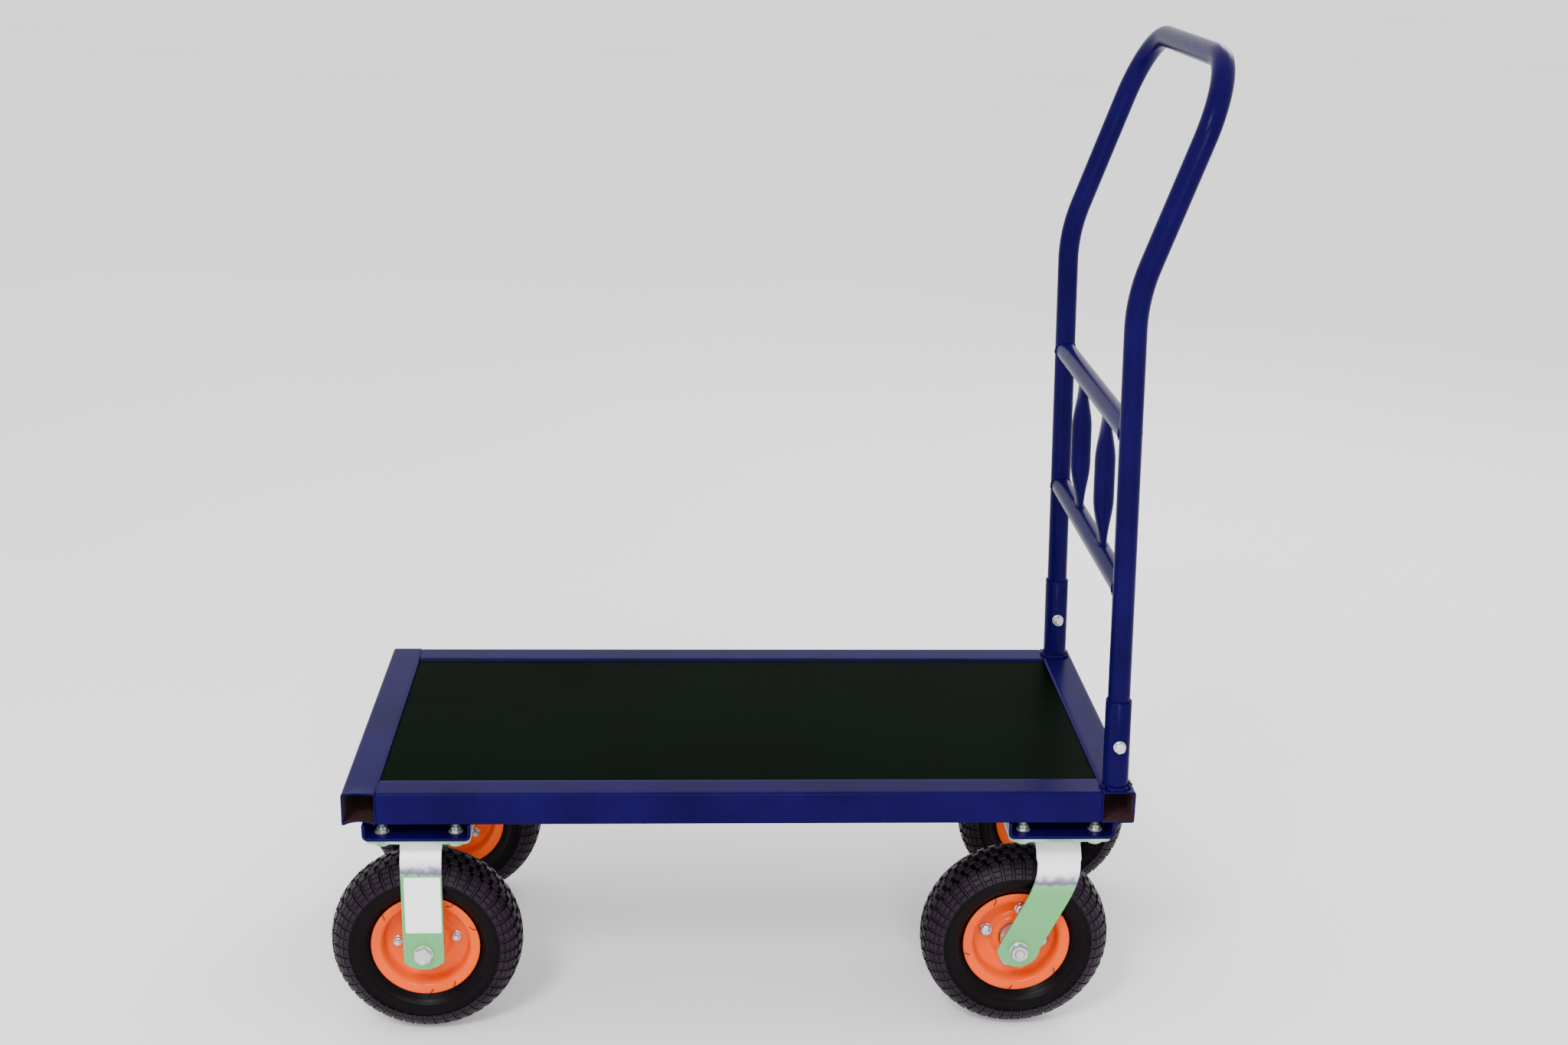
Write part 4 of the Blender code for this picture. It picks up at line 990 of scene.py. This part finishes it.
def handle_path():
    side_path, up_high, top = handle_side_path()
    half = [point - Vector((0, HANDLE_Y, 0)) for point in side_path]
    corner_start = top - up_high * CORNER_RADIUS
    run_start = half[-1]
    run_end = corner_start - Vector((0, HANDLE_Y, 0))
    half += [run_start.lerp(run_end, step / 6) for step in range(1, 6)]
    for step in range(21):
        angle = math.pi / 2 * step / 20
        inward = CORNER_RADIUS * (1 - math.cos(angle))
        rise = CORNER_RADIUS * math.sin(angle)
        half.append(corner_start + up_high * rise - Vector((0, HANDLE_Y - inward, 0)))
    grip_start = half[-1]
    half += [Vector((grip_start.x, grip_start.y * (1 - step / 8), grip_start.z)) for step in range(1, 8)]
    return half + [Vector((p.x, -p.y, p.z)) for p in half[::-1]]


def build_handle():
    tube = tube_along(handle_path(), HANDLE_RADIUS, 48, HANDLE_BORE)
    make_piece("handle_tube_bent", tube, BLUE, replaces=("handle_tube",), smooth=50)
    for level in ("lower", "upper"):
        centre = leg_axis(CROSSBAR_Z[level])
        reach = HANDLE_Y - 0.0105
        path = [centre + Vector((0, reach * (step / 6 - 1), 0)) for step in range(13)]
        bar = tube_along(path, HANDLE_RADIUS, 48, HANDLE_BORE)
        make_piece(f"{level}_crossbar_tube", bar, BLUE, replaces=(f"{level}_crossbar",), smooth=50)
        for side, sign in SIDES.items():
            saddle = []
            for turn in turns(44):
                across = HANDLE_RADIUS * math.cos(turn)
                meet = math.sqrt(max(HANDLE_RADIUS ** 2 - across ** 2, 0.0))
                y = sign * (HANDLE_Y - max(meet, 0.42 * HANDLE_RADIUS))
                z = HANDLE_RADIUS * 1.02 * math.sin(turn)
                saddle.append(centre + Vector((across * 1.02, y, z)))
            make_piece(f"{level}_crossbar_{side}_weld", bead(saddle, 0.0017, closed=True), BLUE, smooth=60)
    for side, sign in SIDES.items():
        build_socket(side, sign)
        build_baluster(side, sign)


def build_socket(side, sign):
    """Socket tube with a softened mouth, the bead round its foot, and its bolt and nut."""
    low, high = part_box(f"{side}_handle_socket")
    to_leg = Vector((0, sign * HANDLE_Y, 0))
    foot = leg_axis(low.z) + to_leg
    mouth = leg_axis(high.z) + to_leg
    below_mouth = mouth - (mouth - foot).normalized() * 0.0006
    stations = [(foot, SOCKET_RADIUS), (below_mouth, SOCKET_RADIUS), (mouth, SOCKET_RADIUS - 0.0005),
                (mouth, SOCKET_BORE + 0.0002), (below_mouth, SOCKET_BORE), (foot, SOCKET_BORE)]
    tube = loft([circle(centre, radius, 56) for centre, radius in stations], closed=True)
    make_piece(f"{side}_handle_socket_tube", tube, BLUE, replaces=(f"{side}_handle_socket",), smooth=40)
    ring = []
    for turn in turns(54):
        wobble = SOCKET_RADIUS + 0.0016 + random.uniform(-0.0004, 0.0010)
        ring.append(foot + Vector((wobble * math.cos(turn), wobble * math.sin(turn), 0.0012)))
    make_piece(f"{side}_socket_weld", bead(ring, 0.0027, closed=True, ripple=0.0022), BLUE, smooth=60)

    bolt = bolt_shape(0.0040, 0.0425, 0.0130, 0.0053, 0.0080, 0.0011)
    nut = nut_shape(0.0041, 0.0130, 0.0064, 0.0082, 0.0012)
    centre = leg_axis(middle(f"{side}_handle_bolt").z) + to_leg
    spin = Matrix.Rotation(0.3, 4, "Z")
    for part, shape, toward in (("bolt", bolt, sign), ("nut", nut, -sign)):
        node = f"{side}_handle_{part}"
        seat = centre + Vector((0, toward * (SOCKET_RADIUS + 0.0002), 0))
        fasten(f"{node}_fine", shape, seat, (0, toward, 0), spin, replaces=(node,))


def build_baluster(side, sign):
    """A round tube pressed flat at both ends, with a bead where it meets each crossbar."""
    low = CROSSBAR_Z["lower"] + HANDLE_RADIUS - 0.0035
    high = CROSSBAR_Z["upper"] - HANDLE_RADIUS + 0.0035
    radius, flat_x, flat_y = 0.0135, 0.0052, 0.0182
    to_baluster = Vector((0, sign * BALUSTER_Y, 0))
    rings = []
    steps = 40
    for step in range(steps + 1):
        share = step / steps
        flat = max(0.0, 1 - min(share, 1 - share) / 0.36)
        eased = flat * flat * (3 - 2 * flat)
        centre = leg_axis(low + (high - low) * share) + to_baluster
        rings.append(circle(centre, radius + (flat_x - radius) * eased, 40, radius + (flat_y - radius) * eased))
    make_piece(f"{side}_baluster_tube", loft(rings), BLUE, replaces=(f"{side}_baluster",), smooth=50)
    for level, z in (("lower", low + 0.0030), ("upper", high - 0.0030)):
        path = []
        for turn in turns(36):
            across = math.copysign(abs(math.sin(turn)) ** 0.8, math.sin(turn))
            path.append(leg_axis(z) + to_baluster + Vector((0.0056 * math.cos(turn), 0.0186 * across, 0)))
        make_piece(f"{side}_baluster_{level}_weld", bead(path, 0.0014, closed=True), BLUE, smooth=60)


# ------------------------------------------------------------------ label
def build_label():
    """A blank paper label on the front left fork's outer face."""
    axle = AXLES["front_left"]
    width, height, corner, thick = 0.0460, 0.0790, 0.0020, 0.00015
    centre = Vector((axle.x + 0.0012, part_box("front_left_fork")[0].y - 0.0001, axle.z + 0.0690))
    outline = rounded_rectangle(width, height, corner)
    rings = [[centre + Vector((x, -depth, z)) for x, z in outline] for depth in (-0.0002, thick)]
    make_piece("blank_label", loft(rings), LABEL, smooth=30)


# ------------------------------------------------------------------ stage
def build_stage():
    bpy.ops.mesh.primitive_plane_add(size=60, location=(0, 0, -0.0005))
    floor = bpy.context.object
    floor.name = "floor"
    ground = Surface("floor")
    pale = ground.ramp(ground.noise(0.6, 2.0), (0.3, (0.93, 0.93, 0.93)), (0.7, (0.96, 0.96, 0.96)))
    ground.finish({"Base Color": pale, "Roughness": 0.9, "Specular IOR Level": 0.0})
    floor.data.materials.append(ground.material)

    world = bpy.data.worlds.new("studio")
    bpy.context.scene.world = world
    world.use_nodes = True
    sky = world.node_tree.nodes["Background"]
    sky.inputs["Color"].default_value = (1.0, 1.0, 1.0, 1.0)
    sky.inputs["Strength"].default_value = 1.60

    add_light("key", (-1.2, -3.0, 3.2), (0, 0, 0.4), 1.0, 110)
    add_light("front_fill", (0.2, -3.6, 1.6), (0, 0, 0.3), 0.5, 45)
    add_light("back_rim", (1.8, 2.6, 2.4), (0, 0, 0.6), 1.4, 40)


def add_light(name, location, target, size, power):
    data = bpy.data.lights.new(name, "AREA")
    data.shape = "DISK"
    data.size = size
    data.energy = power
    lamp = bpy.data.objects.new(name, data)
    bpy.context.scene.collection.objects.link(lamp)
    lamp.location = location
    lamp.rotation_mode = "QUATERNION"
    lamp.rotation_quaternion = (Vector(target) - Vector(location)).to_track_quat("-Z", "Y")


def build_camera():
    """The camera in front of the left side, a little above the handle, tipped down at the deck."""
    yaw, pitch, roll = 0.0509, 0.3097, 0.0192
    from_deck = Vector((-0.0743, -2.6172, 1.1157))
    forward = Vector((math.sin(yaw) * math.cos(pitch), math.cos(yaw) * math.cos(pitch), -math.sin(pitch)))
    level = Vector((math.cos(yaw), -math.sin(yaw), 0))
    up = level.cross(forward)
    right = math.cos(roll) * level + math.sin(roll) * up
    tilted = -math.sin(roll) * level + math.cos(roll) * up
    data = bpy.data.cameras.new("camera")
    data.sensor_width = 36.0
    data.lens = 47.48
    camera = bpy.data.objects.new("camera", data)
    bpy.context.scene.collection.objects.link(camera)
    turn = Matrix((right, tilted, -forward)).transposed().to_4x4()
    camera.matrix_world = Matrix.Translation(from_deck + Vector((DECK_X, 0, TOP))) @ turn
    bpy.context.scene.camera = camera


# ------------------------------------------------------------------ assembly
build_camera()
build_stage()
build_deck_frame()
build_panel()
for cross_member in ("front_caster_channel", "rear_caster_channel"):
    build_channel(cross_member)
build_plate_fasteners()
for hidden in ("left_panel_ledge", "right_panel_ledge", "panel_cross_bearer"):
    finish_node(hidden, BLUE)
for side in SIDES:
    front = f"front_{side}"
    rear = f"rear_{side}"
    build_fork(front, FRAME_BODY, AXLES[front].x, FIXED_FORK)
    build_fixed_crown_weld(front)
    build_axle_fasteners(front, FRAME_BODY, SIDES[side])
    build_fork(rear, f"{rear}_swivel", SWIVEL_X, SWIVEL_FORK)
    build_race(rear)
    build_axle_fasteners(rear, f"{rear}_swivel", -SIDES[side])
    for plate in (front, rear):
        finish_node(f"{plate}_plate", DULL_ZINC_GREEN_REFLECTION)
    finish_node(f"{rear}_kingpin", BRIGHT)
build_wheels()
build_mould_hairs()
build_handle()
build_label()
